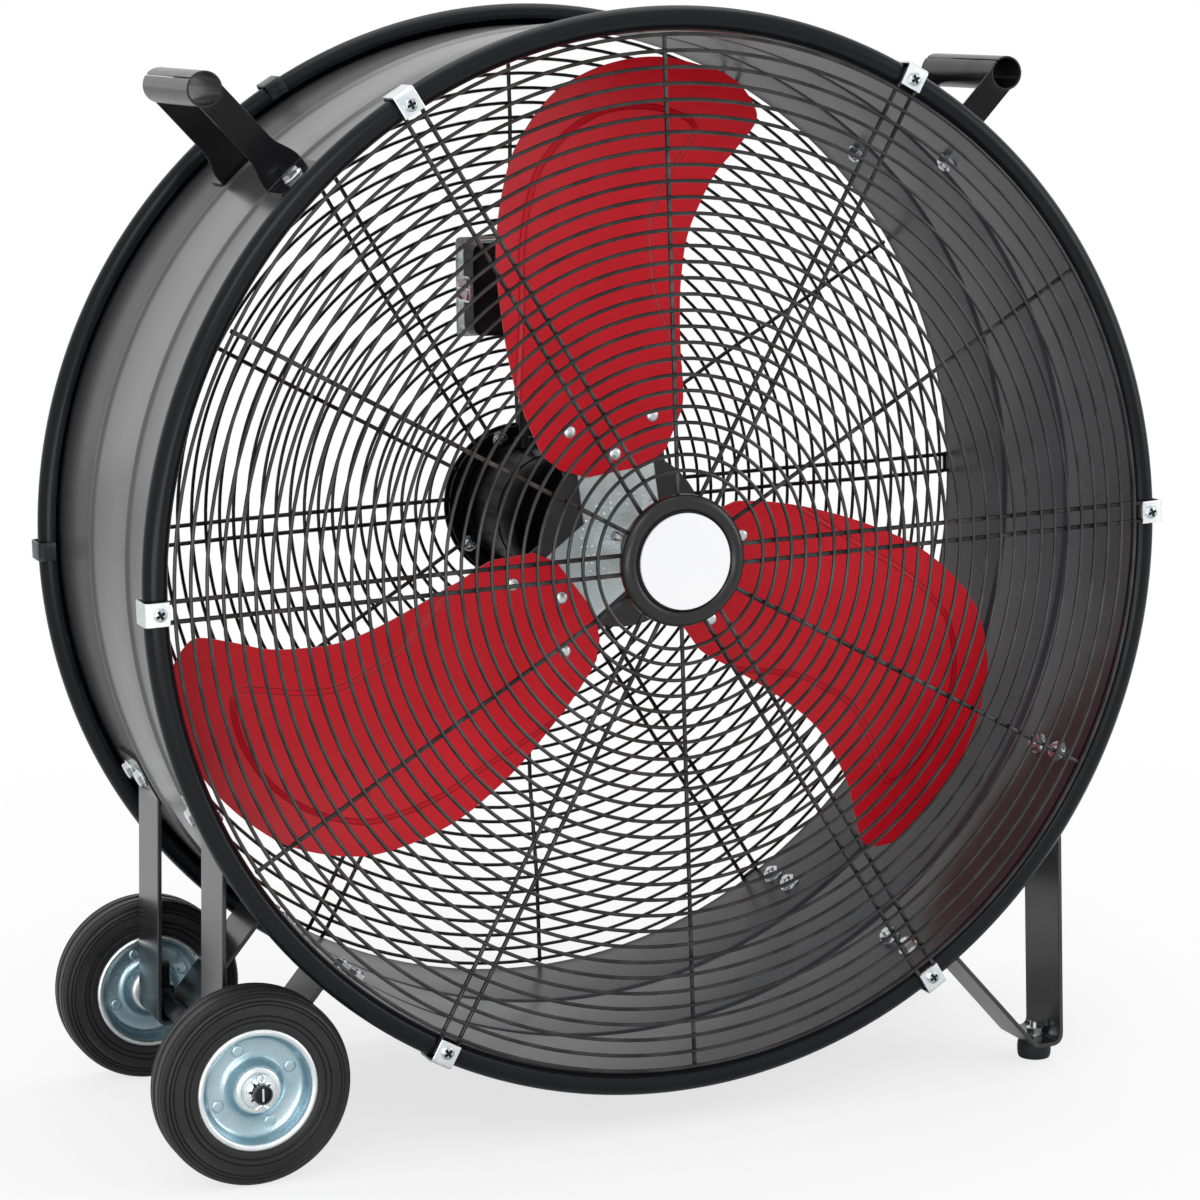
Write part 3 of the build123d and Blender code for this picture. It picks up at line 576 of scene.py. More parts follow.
def spokeWire(side, bulge, clipped):  # a clipped wire is bent over the rolled rim
    seat = guard["depth"] + guard["spokeWire"]
    corners = [(guard["inner"], seat + bulge)]
    radii = []
    if bulge:
        corners += [(guard["bulgeInner"], seat + bulge), (guard["bulgeOuter"], seat)]
        radii += [30, 30]
    if clipped:
        over = seat + guard["bendRise"]
        corners += [(guard["bendFrom"], seat), (guard["bendTo"], over), (guard["pairEnd"], over)]
        radii += [10, 8]
    else:
        corners.append((guard["singleEnd"], seat))
    line = rounded(corners, radii) if radii else corners
    path = [(p[0], side * p[1], 0) for p in line]
    return sweep(path, circleSection(guard["spokeWire"], 8), (0, 0, 1))


def guardRings(side, bulge, count):
    seat = guard["depth"] + 2 * guard["spokeWire"] + guard["ringWire"] - guard["weld"]
    radii = [guard["outerRing"] - k * guard["pitch"] for k in range(count)]
    return join([ringWire(radius, side * (seat + bulgeAt(radius, bulge))) for radius in radii])


def guardSpokes(side, bulge):
    long, short = spokeWire(side, bulge, True), spokeWire(side, bulge, False)
    spokes = []
    for angle in pairTurns:
        spokes += [around(shifted(long, 0, 0, shift), angle) for shift in (-guard["pair"], guard["pair"])]
        spokes.append(around(short, angle + 30))
    return join(spokes)


# the front rings take the lighter copy of the wire paint, painted light; the rear rings and all spokes the
# darker one
makePiece("frontGuardRings", guardRings(-1, 0, guard["frontRings"]), "ringWire",
          ["front_guard"])
makePiece("frontGuardSpokes", guardSpokes(-1, 0), "spokeWire")
makePiece("rearGuardRings", guardRings(1, guard["bulge"], guard["rearRings"]), "spokeWire",
          ["rear_guard"])
makePiece("rearGuardSpokes", guardSpokes(1, guard["bulge"]), "spokeWire")
print("guards made")


# fasteners, each drawn standing on z = 0

def hexBlock(radius, low, high, steps=24, bothEnds=False):
    inner = radius * math.cos(math.pi / 6)
    turns = [2 * math.pi * k / steps for k in range(steps)]

    def row(level, drop):  # outline with its corners lowered or raised
        ring = []
        for a in turns:
            r = inner / math.cos((a % (math.pi / 3)) - math.pi / 6)
            ring.append((*polar(r, a), level - drop * (r - inner * 0.97) * 0.55))
        return ring

    def cap(level):  # the round flat inside the chamfer
        return [(*polar(inner * 0.96, a), level) for a in turns]

    if bothEnds:
        rows = [cap(low), row(low, -1)]
    else:
        rows = [[(x * 0.999, y * 0.999, low) for x, y, _ in row(0, 0)]]
    rows += [row(high, 1), cap(high)]
    points = np.array([p for ring in rows for p in ring])
    lids = [tuple(range(steps)), tuple(range((len(rows) - 1) * steps, len(rows) * steps))]
    return points, ringFaces(len(rows), steps) + lids


def post(profile, steps=24):  # (radius, height) points turned about z
    return moved(lathe(profile, steps), Matrix.Rotation(math.pi / 2, 4, "X"))


def washer(radius, low, high, edge=0.3):
    return post([(0, low), (radius - edge, low), (radius, low + edge), (radius, high - edge),
                 (radius - edge, high), (0, high)])


def hexBolt(radius=7.5, height=5.0):
    crown = post([(radius * 0.62, height - 0.05), (radius * 0.5, height + 0.25), (0, height + 0.3)])
    return join([washer(radius * 1.12, 0, 1.1), hexBlock(radius * 0.96, 1.0, height), crown])


def threadedEnd(radius, low, high):  # rod with a few turns of thread drawn as fine grooves
    profile = [(0, low)]
    level = low
    while level < high - 1.2:
        profile += [(radius, level), (radius - 0.45, level + 0.5)]
        level += 1.0
    return post(profile + [(radius, level), (radius, high - 0.8), (radius - 0.8, high), (0, high)], 20)


def hexNut(radius=7.5, height=6.0, rod=4.0, stand=2.0):
    return join([hexBlock(radius * 0.98, 0, height, bothEnds=True),
                 threadedEnd(rod, height - 1, height + stand)])


def crossHead(radius, height, cross=1.3):  # pan head with a cross pressed into it
    rings, sectors = [0.16, 0.34, 0.52, 0.7, 0.86, 1.0], 48
    turn = [2 * math.pi * k / sectors for k in range(sectors)]
    points = [(0, 0, height - 1.1)]
    for ring in rings:
        for a in turn:
            x, y = polar(ring * radius, a)
            level = height * math.sqrt(1 - ring ** 2 * 0.62)
            if min(abs(x), abs(y)) < radius * 0.15 and max(abs(x), abs(y)) < radius * 0.62:
                level -= cross
            points.append((x, y, level if ring < 1 else height * 0.45))
    points += [(*polar(radius, a), 0) for a in turn]
    faces = [(0, 1 + k, 1 + (k + 1) % sectors) for k in range(sectors)]
    faces += ringFaces(len(rings) + 1, sectors, base=1)
    faces.append(tuple(range(len(points) - sectors, len(points))))
    return np.array(points, float), faces


# clips that clamp the guards to the rims

clip = dict(face=171.0, web=425.9, tail=147.1, sheet=1.0, half={"front": 9.0, "rear": 7.5}, inner=408.0,
            screwAt=415.5, screwRadius=5.2, screwHeight=2.6)


def guardClips(side, half):
    middle = clip["face"] + clip["sheet"]
    corners = [(clip["inner"], middle), (clip["web"], middle), (clip["web"], clip["tail"]),
               (drum["rim"] - 2, clip["tail"])]
    path = [(p[0], side * p[1], 0) for p in rounded(corners, [3, 3], 4)]
    strip = sweep(path, stripSection(half, clip["sheet"], 0.5), (0, 0, 1))
    return join([around(strip, angle) for angle in pairTurns])


def shadeCrosses(piece):  # painted shade: the pressed cross of each head takes a darker finish than its rim
    points, faces = crossHead(clip["screwRadius"], clip["screwHeight"])
    floor, reach = clip["screwHeight"] - 1.05, clip["screwRadius"] * 0.72
    pressed = [min(points[i][2] for i in face) < floor
               and max(math.hypot(*points[i][:2]) for i in face) < reach for face in faces]
    piece.data.materials.append(finishes["crossRecessShade"])
    for face in piece.data.polygons:
        face.material_index = int(pressed[face.index % len(faces)])


def clipScrews(side):
    head = crossHead(clip["screwRadius"], clip["screwHeight"])
    seat = side * (clip["face"] + 2 * clip["sheet"])
    parts = []
    for k, angle in enumerate(pairTurns):
        turned = moved(head, Matrix.Rotation(math.radians(20 + 33 * k), 4, "Z"))  # each stops at its own turn
        placed = facing(turned, 0, seat, 0, side)
        parts.append(around(shifted(placed, clip["screwAt"], 0, 0), angle))
    return join(parts)


clipFinishes = {"front": ("brightZinc", "screwZinc", "zinc"),
                "rear": ("darkStud", "darkStud", "wire_black")}
for label, side in ends:
    clipMetal, screwMetal, slotName = clipFinishes[label]
    makePiece(label + "GuardClips", guardClips(side, clip["half"][label]), clipMetal,
              [label + "_guard_clips"], 20)
    shadeCrosses(makePiece(label + "ClipScrews", clipScrews(side), screwMetal))


# hub cap and its plain white disc

cap = dict(radius=51.5, back=167.0, height=9.5, wall=2.5, disc=37.5, discSheet=0.8, ringMid=44.8,
           ringHalf=6.7, ringRise=5.2)


def hubCap():
    back, front, outer = cap["back"], cap["back"] + cap["height"], cap["radius"]
    line = [(0, front - 1.2), (cap["disc"] + 0.4, front - 1.2), (cap["disc"] + 0.6, front - 2.6)]
    for k in range(15):  # rounded ring about the disc
        a = math.radians(170 - 170 * k / 14)
        line.append((cap["ringMid"] + cap["ringHalf"] * math.cos(a),
                     front - cap["ringRise"] * (1 - math.sin(a))))
    wall, roof = outer - cap["wall"], front - cap["wall"] - 0.6
    line += [(outer, back + 1.4), (outer - 0.5, back), (wall, back), (wall, front - 4.6), (outer - 7, roof),
             (0, roof)]
    return flippedDepth(lathe(line, 128))


def hubDisc():
    front, r = cap["back"] + cap["height"], cap["disc"]
    top = front + cap["discSheet"]
    line = [(0, front - 1.3), (r, front - 1.3), (r, top - 0.3), (r - 0.5, top), (r * 0.5, top), (0, top)]
    return flippedDepth(lathe(line, 128))


makePiece("hubCap", hubCap(), "capPlastic", ["hub_cap"], 45)
makePiece("hubCapDisc", hubDisc(), "discEnamel", ["hub_cap_disc"], 30)
dress("guard_centre_plate", "spiderPaint")


# blades: pressed sheet, twisted from a flat root, with a raised middle panel

blade = dict(face=-59.4, sheet=1.8, press=1.9, pressWidth=4.0, turn=97.375, rows=190, columns=80,
             flatTo=110.0, shapedFrom=205.0, middle=207.5, lift=5.8, tilt=0.102, cup=0.000745,
             twist=0.000783, rise=0.042)
bladeTurns = [blade["turn"] + 120 * k for k in range(3)]
leadEdge = [(56, 0), (56, 26), (66, 48), (79, 60), (120, 72.5), (165, 79.5), (208, 81.5), (248, 79),
            (290, 67), (325, 48), (357, 12), (371, -24), (376, -62), (373, -97), (362, -128), (353, -147),
            (341, -160)]
trailEdge = [(56, 0), (56, -25), (66, -44), (95, -62), (130, -67.5), (165, -73), (200, -80.5), (230, -91),
             (256, -108), (276, -125), (293, -147), (311, -167), (326, -167), (341, -160)]
panelEdge = [(40, 90), (120, 77), (205, 62), (236, 58), (263, 51), (285, 42), (304, 31), (324, 7),
             (336, -20), (340, -47), (336, -78), (324, -105), (313, -113), (297, -100), (275, -78),
             (250, -62), (217, -56), (183, -56), (110, -73), (40, -90)]


def resample(line, count, sharp):  # even steps along a smooth line through the points, its first corners kept
    line = [np.array(p, float) for p in line]
    dense = []
    for i in range(len(line) - 1):
        a, b = line[i], line[i + 1]
        before = line[i - 1] if i >= sharp else a
        after = line[i + 2] if i + 2 < len(line) and i + 1 >= sharp else b
        if i < sharp:
            before, after = 2 * a - b, 2 * b - a
        for k in range(12):
            t = k / 12
            dense.append(0.5 * (2 * a + (b - before) * t + (2 * before - 5 * a + 4 * b - after) * t ** 2
                                + (3 * a - before - 3 * b + after) * t ** 3))
    dense = np.array(dense + [line[-1]])
    run = np.concatenate([[0], np.cumsum(np.linalg.norm(np.diff(dense, axis=0), axis=1))])
    at = np.linspace(0, run[-1], count)
    return np.stack([np.interp(at, run, dense[:, i]) for i in range(2)], 1)


def bladeDepth(s, t):  # front face of the middle panel
    def curved(reach):
        out = reach - blade["middle"]
        return (blade["lift"] - blade["tilt"] * t - blade["cup"] * t * t - blade["twist"] * out * t
                + blade["rise"] * out)

    full = blade["shapedFrom"]
    ease = np.clip((s - blade["flatTo"]) / (full - blade["flatTo"]), 0, 1)
    ease = ease * (0.35 + 0.65 * ease * (3 - 2 * ease))
    return blade["face"] + np.where(s < full, ease * curved(full), curved(np.maximum(s, full)))


def panelDistance(grid):  # how far outside the raised panel's outline each point is
    ring = resample(panelEdge + [panelEdge[0]], 160, 0)
    nearest = np.full(len(grid), 1e9)
    inside = np.zeros(len(grid), bool)
    for a, b in zip(ring, np.roll(ring, -1, 0)):
        edge = b - a
        size = float(edge @ edge)
        if size < 1e-9:
            continue
        t = np.clip(((grid - a) @ edge) / size, 0, 1)
        nearest = np.minimum(nearest, np.linalg.norm(grid - a - t[:, None] * edge, axis=1))
        crosses = (a[1] > grid[:, 1]) != (b[1] > grid[:, 1])
        with np.errstate(divide="ignore", invalid="ignore"):
            level = a[0] + (grid[:, 1] - a[1]) * edge[0] / edge[1]
        inside ^= crosses & (grid[:, 0] < level)
    return np.where(inside, -nearest, nearest)


def fanBlade():
    rows, columns = blade["rows"], blade["columns"]
    lead, trail = resample(leadEdge, rows, 3), resample(trailEdge, rows, 3)
    across = np.linspace(0, 1, columns)
    across = 0.5 - 0.5 * np.cos(math.pi * across) * 0.35 - 0.325 * (1 - 2 * across)
    across = ((across - across[0]) / (across[-1] - across[0]))[None, :, None]
    grid = (lead[:, None, :] * (1 - across) + trail[:, None, :] * across).reshape(-1, 2)
    outside = panelDistance(grid)
    step = np.clip(outside / blade["pressWidth"] + 0.5, 0, 1)
    depth = bladeDepth(grid[:, 0], grid[:, 1]) + blade["press"] * step * step * (3 - 2 * step)
    front = np.column_stack([grid[:, 0], depth, grid[:, 1]])
    rear = front + np.array([0, blade["sheet"], 0])
    count = len(front)
    faces = []
    for i in range(rows - 1):
        for j in range(columns - 1):
            a = i * columns + j
            faces.append((a, a + 1, a + columns + 1, a + columns))
            faces.append(tuple(count + k for k in (a, a + columns, a + columns + 1, a + 1)))
    for j in (0, columns - 1):
        for i in range(rows - 1):
            a = i * columns + j
            faces.append((a, a + columns, a + columns + count, a + count))
    return np.vstack([front, rear]), faces


def markPress(piece, turn):  # gives each point its distance from the press line, for the painted shade along it
    points = (np.array([v.co for v in piece.data.vertices]) - np.array(fanCentre)) * 1000
    flat, _ = around((points, []), -turn)
    mark = piece.data.attributes.new("pressDistance", "FLOAT", "POINT")
    mark.data.foreach_set("value", panelDistance(flat[:, [0, 2]]).astype(np.float32))


bladeShape = fanBlade()
for number, turn in enumerate(bladeTurns, 1):
    bladePiece = makePiece(f"fanBlade{number}", around(bladeShape, turn), "bladePaint",
                           [f"blade_{number}"], 40, "rotor")
    markPress(bladePiece, turn)
print("blades made")


# plates that carry the blades, their rivets and the boss

hub = dict(trefoil=dict(half=33.0, reach=104.0, corner=8, centre=37.0), pipRings=(28.5, 33.0, 37.5),
           pipSpacing=7.0, pipRadius=1.5, pipHeight=0.9,
           spider=dict(half=44.0, reach=110.0, corner=14, centre=71.0), ribShift=20, ribSpan=(50, 106),
           rivetRadius=5.2, rivetHeight=2.2, rivetSeats=((95.0, 36.0), (95.0, -36.0), (70.5, 0.0)))
trefoilFront = blade["face"] + blade["sheet"]
spiderFront = trefoilFront + 2.5
flangeFront = spiderFront + 3.0


def armOutline(half, reach, corner, centre):  # three arms about a round centre
    outline = []
    crossing = half / math.sqrt(3)  # where the edges of two arms run into each other
    meet = max(math.sqrt(max(centre ** 2 - half ** 2, 0)), crossing)
    for degrees in bladeTurns:
        turn = math.radians(degrees)
        arm = [(meet, -half)] if meet > crossing else []
        for a in range(-90, 91, 15):
            t = math.radians(a)
            side = 1 if a >= 0 else -1
            arm.append((reach - corner + corner * math.cos(t), side * (half - corner) + corner * math.sin(t)))
        arm.append((meet, half))
        outline += [(s * math.cos(turn) - t * math.sin(turn), s * math.sin(turn) + t * math.cos(turn))
                    for s, t in arm]
        start, end = math.atan2(half, meet), 2 * math.pi / 3 - math.atan2(half, meet)
        if end > start:
            outline += [polar(centre, turn + start + (end - start) * j / 6) for j in range(1, 6)]
    return outline


def dome(radius, height, degrees, base=0.0):
    turns = [math.radians(turn) for turn in degrees]
    return [(radius * math.cos(a), base + (height - base) * math.sin(a)) for a in turns] + [(0, height)]


def trefoilPlate():
    return frontSlab(armOutline(**hub["trefoil"]), trefoilFront, spiderFront, 0.5)


def trefoilPips():  # rows of small round pips pressed round the hub, in brighter zinc than the plate: painted highlight
    pip = post(dome(hub["pipRadius"], hub["pipHeight"], (0, 30, 60)), 12)
    parts = []
    for ring in hub["pipRings"]:
        count = int(2 * math.pi * ring / hub["pipSpacing"])
        for k in range(count):
            x, z = polar(ring, 2 * math.pi * k / count)
            parts.append(facing(pip, x, trefoilFront, z, -1))
    return join(parts)


def spiderPlate():
    parts = [frontSlab(armOutline(**hub["spider"]), spiderFront, flangeFront, 0.6)]
    near, far = hub["ribSpan"]
    for turn in bladeTurns:
        for shift in (-hub["ribShift"], hub["ribShift"]):  # pressed ribs behind each arm
            rib = frontSlab([(near, shift - 4), (far, shift - 3), (far, shift + 3), (near, shift + 4)],
                            flangeFront - 0.2, flangeFront + 2.4, 0.9)
            parts.append(around(rib, turn))
    return join(parts)


def bladeRivets():
    radius, height = hub["rivetRadius"], hub["rivetHeight"]
    head = post([(0, 0), (radius, 0), (radius, 0.5)] + dome(radius, height, (20, 40, 60, 78), 0.5))
    return join([around(facing(head, s, blade["face"], t, -1), turn)
                 for turn in bladeTurns for s, t in hub["rivetSeats"]])


makePiece("bladeTrefoilPlate", trefoilPlate(), "trefoilZinc", ["blade_trefoil_plate"], body="rotor")
# the pips take brighter zinc than the plate they are pressed in, painted highlight
makePiece("trefoilPips", trefoilPips(), "brightZinc", body="rotor")
makePiece("bladeSpider", spiderPlate(), "spiderPaint", ["blade_spider"], body="rotor")
makePiece("bladeRivets", bladeRivets(), "brightZinc", ["blade_rivets"], body="rotor")
dress("hub_boss", "bossSteel")
dress("hub_flange", "bossSteel")
dress("hub_set_screw", "screwZinc")
dress("motor_shaft", "bossSteel")


# motor behind the blades

motor = dict(front=62.0, radius=51.0, nose=20.0, shaft=8.2, flange=66.0, flangeFront=167.5, flangeBack=171.5,
             bellFlange=68.0, bellRadius=44.0, bellFace=175.0, bellSheet=4.0, bellBack=195.0,
             screwCircle=57.0, screwRing=59.0, screwTurns=(110, 213, 332))


def motorShell():
    front, r, shaft = motor["front"], motor["radius"], motor["shaft"]
    nose, rim, face, back = motor["nose"], motor["flange"], motor["flangeFront"], motor["flangeBack"]
    line = [(shaft, front - 6), (nose - 1.5, front - 6), (nose, front - 4.5), (nose + 1, front - 0.5),
            (r - 12, front), (r - 3, front + 2), (r, front + 8), (r, front + 30), (r + 0.8, front + 31),
            (r + 0.8, front + 36), (r, front + 37), (r, face - 12), (r + 1.2, face - 10), (r + 4, face - 1.5),
            (r + 6, face), (rim - 1, face), (rim, face + 1), (rim, back), (shaft, back)]
    return lathe(line, 96, loop=True)


def motorFrontScrews():
    head = join([washer(7.0, 0, 1.2), shifted(crossHead(5.2, 3.0), 0, 0, 1.1)])
    return join(circleOf(head, motor["screwRing"], motor["screwTurns"], motor["flangeFront"], -1))


def motorBell():
    face, r, back = motor["bellFace"], motor["bellRadius"], motor["bellBack"]
    rim, rear, seat = motor["bellFlange"], motor["bellFace"] + motor["bellSheet"], motor["flangeBack"]
    line = [(0, seat), (r - 0.2, seat), (r - 0.2, face), (rim - 1, face), (rim, face + 1), (rim, rear - 1),
            (rim - 1, rear), (r + 2, rear), (r, rear + 2), (r, back - 5), (r - 1.5, back - 1.5),
            (r - 5, back), (26, back), (24, back - 1.2), (0, back - 1.2)]
    parts = [lathe(line, 96)]
    rib = [(r - 2, rear), (r + 2.2, rear), (r + 2.2, back - 7), (r - 2, back - 4)]
    points = np.array([(x, y, z) for z in (-1.1, 1.1) for x, y in rib], float)
    faces = [(0, 1, 2, 3), (4, 5, 6, 7), (0, 1, 5, 4), (1, 2, 6, 5), (2, 3, 7, 6), (3, 0, 4, 7)]
    return join(parts + [around((points, faces), turn) for turn in range(15, 360, 30)])  # cooling ribs


def motorBackScrews():
    head = join([washer(6.0, 0, 0.9), hexBlock(5.0, 0.8, 3.5)])
    rear = motor["bellFace"] + motor["bellSheet"]
    return join(circleOf(head, motor["screwCircle"], range(45, 360, 90), rear, 1))


makePiece("motorShell", motorShell(), "motorPaint", ["motor_shell"], 30)
makePiece("motorFrontScrews", motorFrontScrews(), "screwZinc")
makePiece("motorBell", motorBell(), "motorPaint", ["motor_bell"], 30)
makePiece("motorScrews", motorBackScrews(), "brightZinc", ["motor_screws"])
dress("motor_lead_gland", "boxPlastic")
dress("motor_lead", "leadRubber")


# switch box and speed knob, inside the rear guard

box = dict(left=-55.0, bottom=148.0, width=58.0, height=78.0, corner=9.0, front=131.0, back=169.0,
           plate=171.5, lidMargin=(4, 6), rim=13.0, windowDepth=151.5, windowLevel=187.0, windowLong=30.0,
           windowTall=22.0, windowRim=2.2, markReach=21.0)
knob = dict(x=-26.01, z=185.08, front=178.61, back=192.61, radius=16.0, stem=3, stemFrom=165, flute=0.55)
boxMiddle = (box["left"] + box["width"] / 2, 0, box["bottom"] + box["height"] / 2)


def switchBox():
    body = frontBoard(box["width"], box["height"], box["corner"], box["front"], box["back"], 3.5)
    return shifted(body, *boxMiddle)


def onLeftSide(part):  # drawn along +z, stood on the left wall of the switch box
    place = Matrix.Translation((box["left"], box["windowDepth"], box["windowLevel"]))
    return moved(part, place @ Matrix.Rotation(-math.pi / 2, 4, "Y"))


def switchWindow():  # two lenses that lean towards each other
    long, tall = box["windowLong"] - 2 * box["windowRim"], box["windowTall"] / 2 - box["windowRim"]
    lens = slab(roundedBoard(tall, long, 1.6), 0, 3.6, 1.0)
    parts = []
    for side in (-1, 1):
        leaned = moved(lens, Matrix.Rotation(side * -math.radians(12), 4, "Y"))
        parts.append(shifted(leaned, side * box["windowTall"] / 4, 0, 0))
    return onLeftSide(join(parts))


def switchWindowFrame():
    long, tall, rim = box["windowLong"], box["windowTall"], box["windowRim"]
    outer, inner = roundedBoard(tall, long, 3.0), roundedBoard(tall - 2 * rim, long - 2 * rim, 2.0)
    levels = ((outer, 0), (outer, 2.6), (inner, 2.6), (inner, 0))
    points = np.array([(x, y, z) for ring, z in levels for x, y in ring], float)
    bar = slab(roundedBoard(1.8, long - rim, 0.6), 0, 3.4, 0.4)
    return onLeftSide(join([(points, ringFaces(4, len(outer), loop=True)), bar]))


def switchPlate():  # lid with a deep rim, the knob's nut, four corner screws and five pressed marks
    width, height, rear = box["width"], box["height"], box["plate"]
    lid = frontBoard(width + box["lidMargin"][0], height + box["lidMargin"][1], 4, box["back"], rear, 0.6)
    rim = frontBoard(width + 1.4, height + 1.4, 9.5, box["back"] - box["rim"], box["back"] + 0.2, 0.5)
    parts = [shifted(join([lid, rim]), *boxMiddle)]
    parts.append(facing(hexNut(height=2.2, rod=5.2, stand=3), knob["x"], rear, knob["z"], 1))
    for sx in (-1, 1):
        for sz in (-1, 1):
            x, z = boxMiddle[0] + sx * (width / 2 - 4), boxMiddle[2] + sz * (height / 2 - 3)
            parts.append(facing(crossHead(3.0, 1.8), x, rear, z, 1))
    for turn in range(30, 151, 30):
        x, z = polar(box["markReach"], math.radians(turn))
        parts.append(facing(washer(1.1, 0, 0.7), knob["x"] + x, rear, knob["z"] + z, 1))
    return join(parts)


def speedKnob():
    r, front, back, stem = knob["radius"], knob["front"], knob["back"], knob["stem"]
    steps = 96
    points = []
    for scale, rise in ((0.9, 0), (1.0, 0.8), (0.97, 6), (0.9, 6.9), (0.0, 7)):
        for k in range(steps):
            flute = knob["flute"] if k % 4 < 2 and 0.95 < scale <= 1 else 0
            x, z = polar(r * scale - flute, 2 * math.pi * k / steps)
            points.append((x, front + rise, z))
    skirt = np.array(points, float), [tuple(range(steps))] + ringFaces(5, steps)
    bar = frontBoard(6, 2 * r - 3, 2.4, front + 6.3, back, 0.9)
    rod = lathe([(0, knob["stemFrom"]), (stem, knob["stemFrom"]), (stem, front + 1), (0, front + 1)], 24)
    pointer = shifted(frontBoard(1.4, 7, 0.5, back - 0.4, back, 0.1), 0, 0, 9)
    return shifted(join([skirt, bar, rod, pointer]), knob["x"], 0, knob["z"])


makePiece("switchBox", switchBox(), "boxPlastic", ["switch_box", "rotary_switch"])
makePiece("switchWindow", switchWindow(), "lensRed")
makePiece("switchWindowFrame", switchWindowFrame(), "brightZinc")
makePiece("switchPlate", switchPlate(), "trefoilZinc", ["switch_plate"])
makePiece("speedKnob", speedKnob(), "capPlastic", ["speed_knob"], 30, "knob")
print("motor and switch made")


# carrying handles

handle = dict(angles={"right": 46.95, "left": 133.05}, seam={"right": 83, "left": 10}, seamHalf=3.0,
              grip=499.6, gripRadius=14.0, gripWall=1.6, half=61.75, legMiddle=60.5, sheet=2.5, legHalf=12.0,
              footHalf=18.5, footEnd=101.25, flareFrom=438.0, flareLength=24.0, hollowFrom=470.0,
              wrapFrom=436.0, roundFrom=90.0, bolt=81.0, across=13)


def handleGrip(seam):  # tube rolled from sheet, open at its ends, with a narrow seam along it
    start, span = seam + handle["seamHalf"], 360 - 2 * handle["seamHalf"]
    arc = [math.radians(start + span * k / 46) for k in range(47)]
    outline = [polar(handle["gripRadius"], a) for a in arc]
    outline += [polar(handle["gripRadius"] - handle["gripWall"], a) for a in arc[::-1]]
    return shifted(frontSlab(outline, -handle["half"], handle["half"], 0.25), handle["grip"], 0, 0)


def handleLegs():  # straps cut to the tube at the top, with a foot bent along the drum
    middle, tube = handle["legMiddle"], handle["gripRadius"]
    low = drumOuter + handle["sheet"] / 2
    top = handle["grip"] - tube + 0.4
    path = [(r, middle) for r in (top, 482, 478, 474, 470, 460, 450, 444, 438, 432, 426, 420, 415)]
    bend = rounded([(top, middle), (low, middle), (low, handle["footEnd"])], [4.0], 6)
    path += [(p[0], p[1]) for p in bend[1:-1]]
    path += [(low, y) for y in (72, 80, 88, 92, 95, 97.4, 99.2, 100.4, handle["footEnd"])]
    sections = []
    for r, y in path:
        flare = min(1, max(0, (handle["flareFrom"] - r) / handle["flareLength"]))
        flare *= flare * (3 - 2 * flare)
        half = handle["legHalf"] + (handle["footHalf"] - handle["legHalf"]) * flare
        if y > handle["roundFrom"]:  # rounded end of the foot
            half -= 12 * (1 - math.sqrt(max(0, 1 - ((y - handle["roundFrom"]) / 11.4) ** 2)))
        sections.append(stripSection(half, handle["sheet"] / 2, 0.5, handle["across"]))
    points, faces = sweep([(r, y, 0) for r, y in path], sections, (0, 0, 1))
    faces = faces[:-2] + stripEnd(handle["across"]) + [faces[-1]]
    # the top is hollowed to the tube, the foot is curved to the drum
    cut = np.clip((points[:, 0] - handle["hollowFrom"]) / (top - handle["hollowFrom"]), 0, 1)
    points[:, 0] += cut * (tube - np.sqrt(tube ** 2 - np.minimum(points[:, 2] ** 2, 150)))
    wrap = np.clip((handle["wrapFrom"] - points[:, 0]) / 20, 0, 1)
    points[:, 0] -= wrap * points[:, 2] ** 2 / (2 * drumOuter)
    return join([(points, faces), flippedDepth((points, faces))])


def insideNut(angle, depth):  # nut with a washer against the inside of the drum
    nut = join([washer(8.6, 0, 1.2), shifted(hexNut(height=5.4, stand=2.5), 0, 0, 1.1)])
    turned = moved(nut, Matrix.Rotation(math.pi, 4, "X"))
    return onDrum(turned, angle, drum["wall"] - 0.05, depth)


def drumBolts(name, sheet, places):  # bolts through a strap and the drum, with their nuts
    bolts = [onDrum(hexBolt(), angle, drumOuter + sheet, depth) for angle, depth in places]
    fastenerSet(name, "brightZinc", bolts=bolts, nuts=[insideNut(*place) for place in places])


for label, angle in handle["angles"].items():
    gripPiece = makePiece(f"handle{label.title()}Grip", around(handleGrip(handle["seam"][label]), angle),
                          "gripPaint", [f"handle_{label}_grip"])
    gripMiddle = fanCentre + Vector(around((np.array([[handle["grip"], 0, 0]]), []), angle)[0][0]) / 1000
    repaint(gripPiece, gripMiddle, ["handlePaint"], lambda out, inward: inward)  # the inside takes a darker, duller copy of the paint, painted shade
    makePiece(f"handle{label.title()}Legs", around(handleLegs(), angle), "handlePaint",
              [f"handle_{label}_legs"], 20)
drumBolts("handle", handle["sheet"], [(angle, depth) for angle in handle["angles"].values()
                                      for depth in (-handle["bolt"], handle["bolt"])])


# stand brackets, each bent from one length of flat bar

bracket = dict(sheet=3.5, width=57.0, tab=38.0, boltGap=16.5)
stands = {
    "foot": dict(top=348.3, bottom=353.3, plateInner=330.6, plateLevel=floorLevel + 16, diagonal=131.6,
                 offset=112.0, mirrored=False, bend=9.0),
    "wheel": dict(top=352.5, bottom=357.0, plateInner=336.0, plateLevel=floorLevel + 64, diagonal=130.0,
                  offset=90.0, mirrored=True, bend=6.0),
}


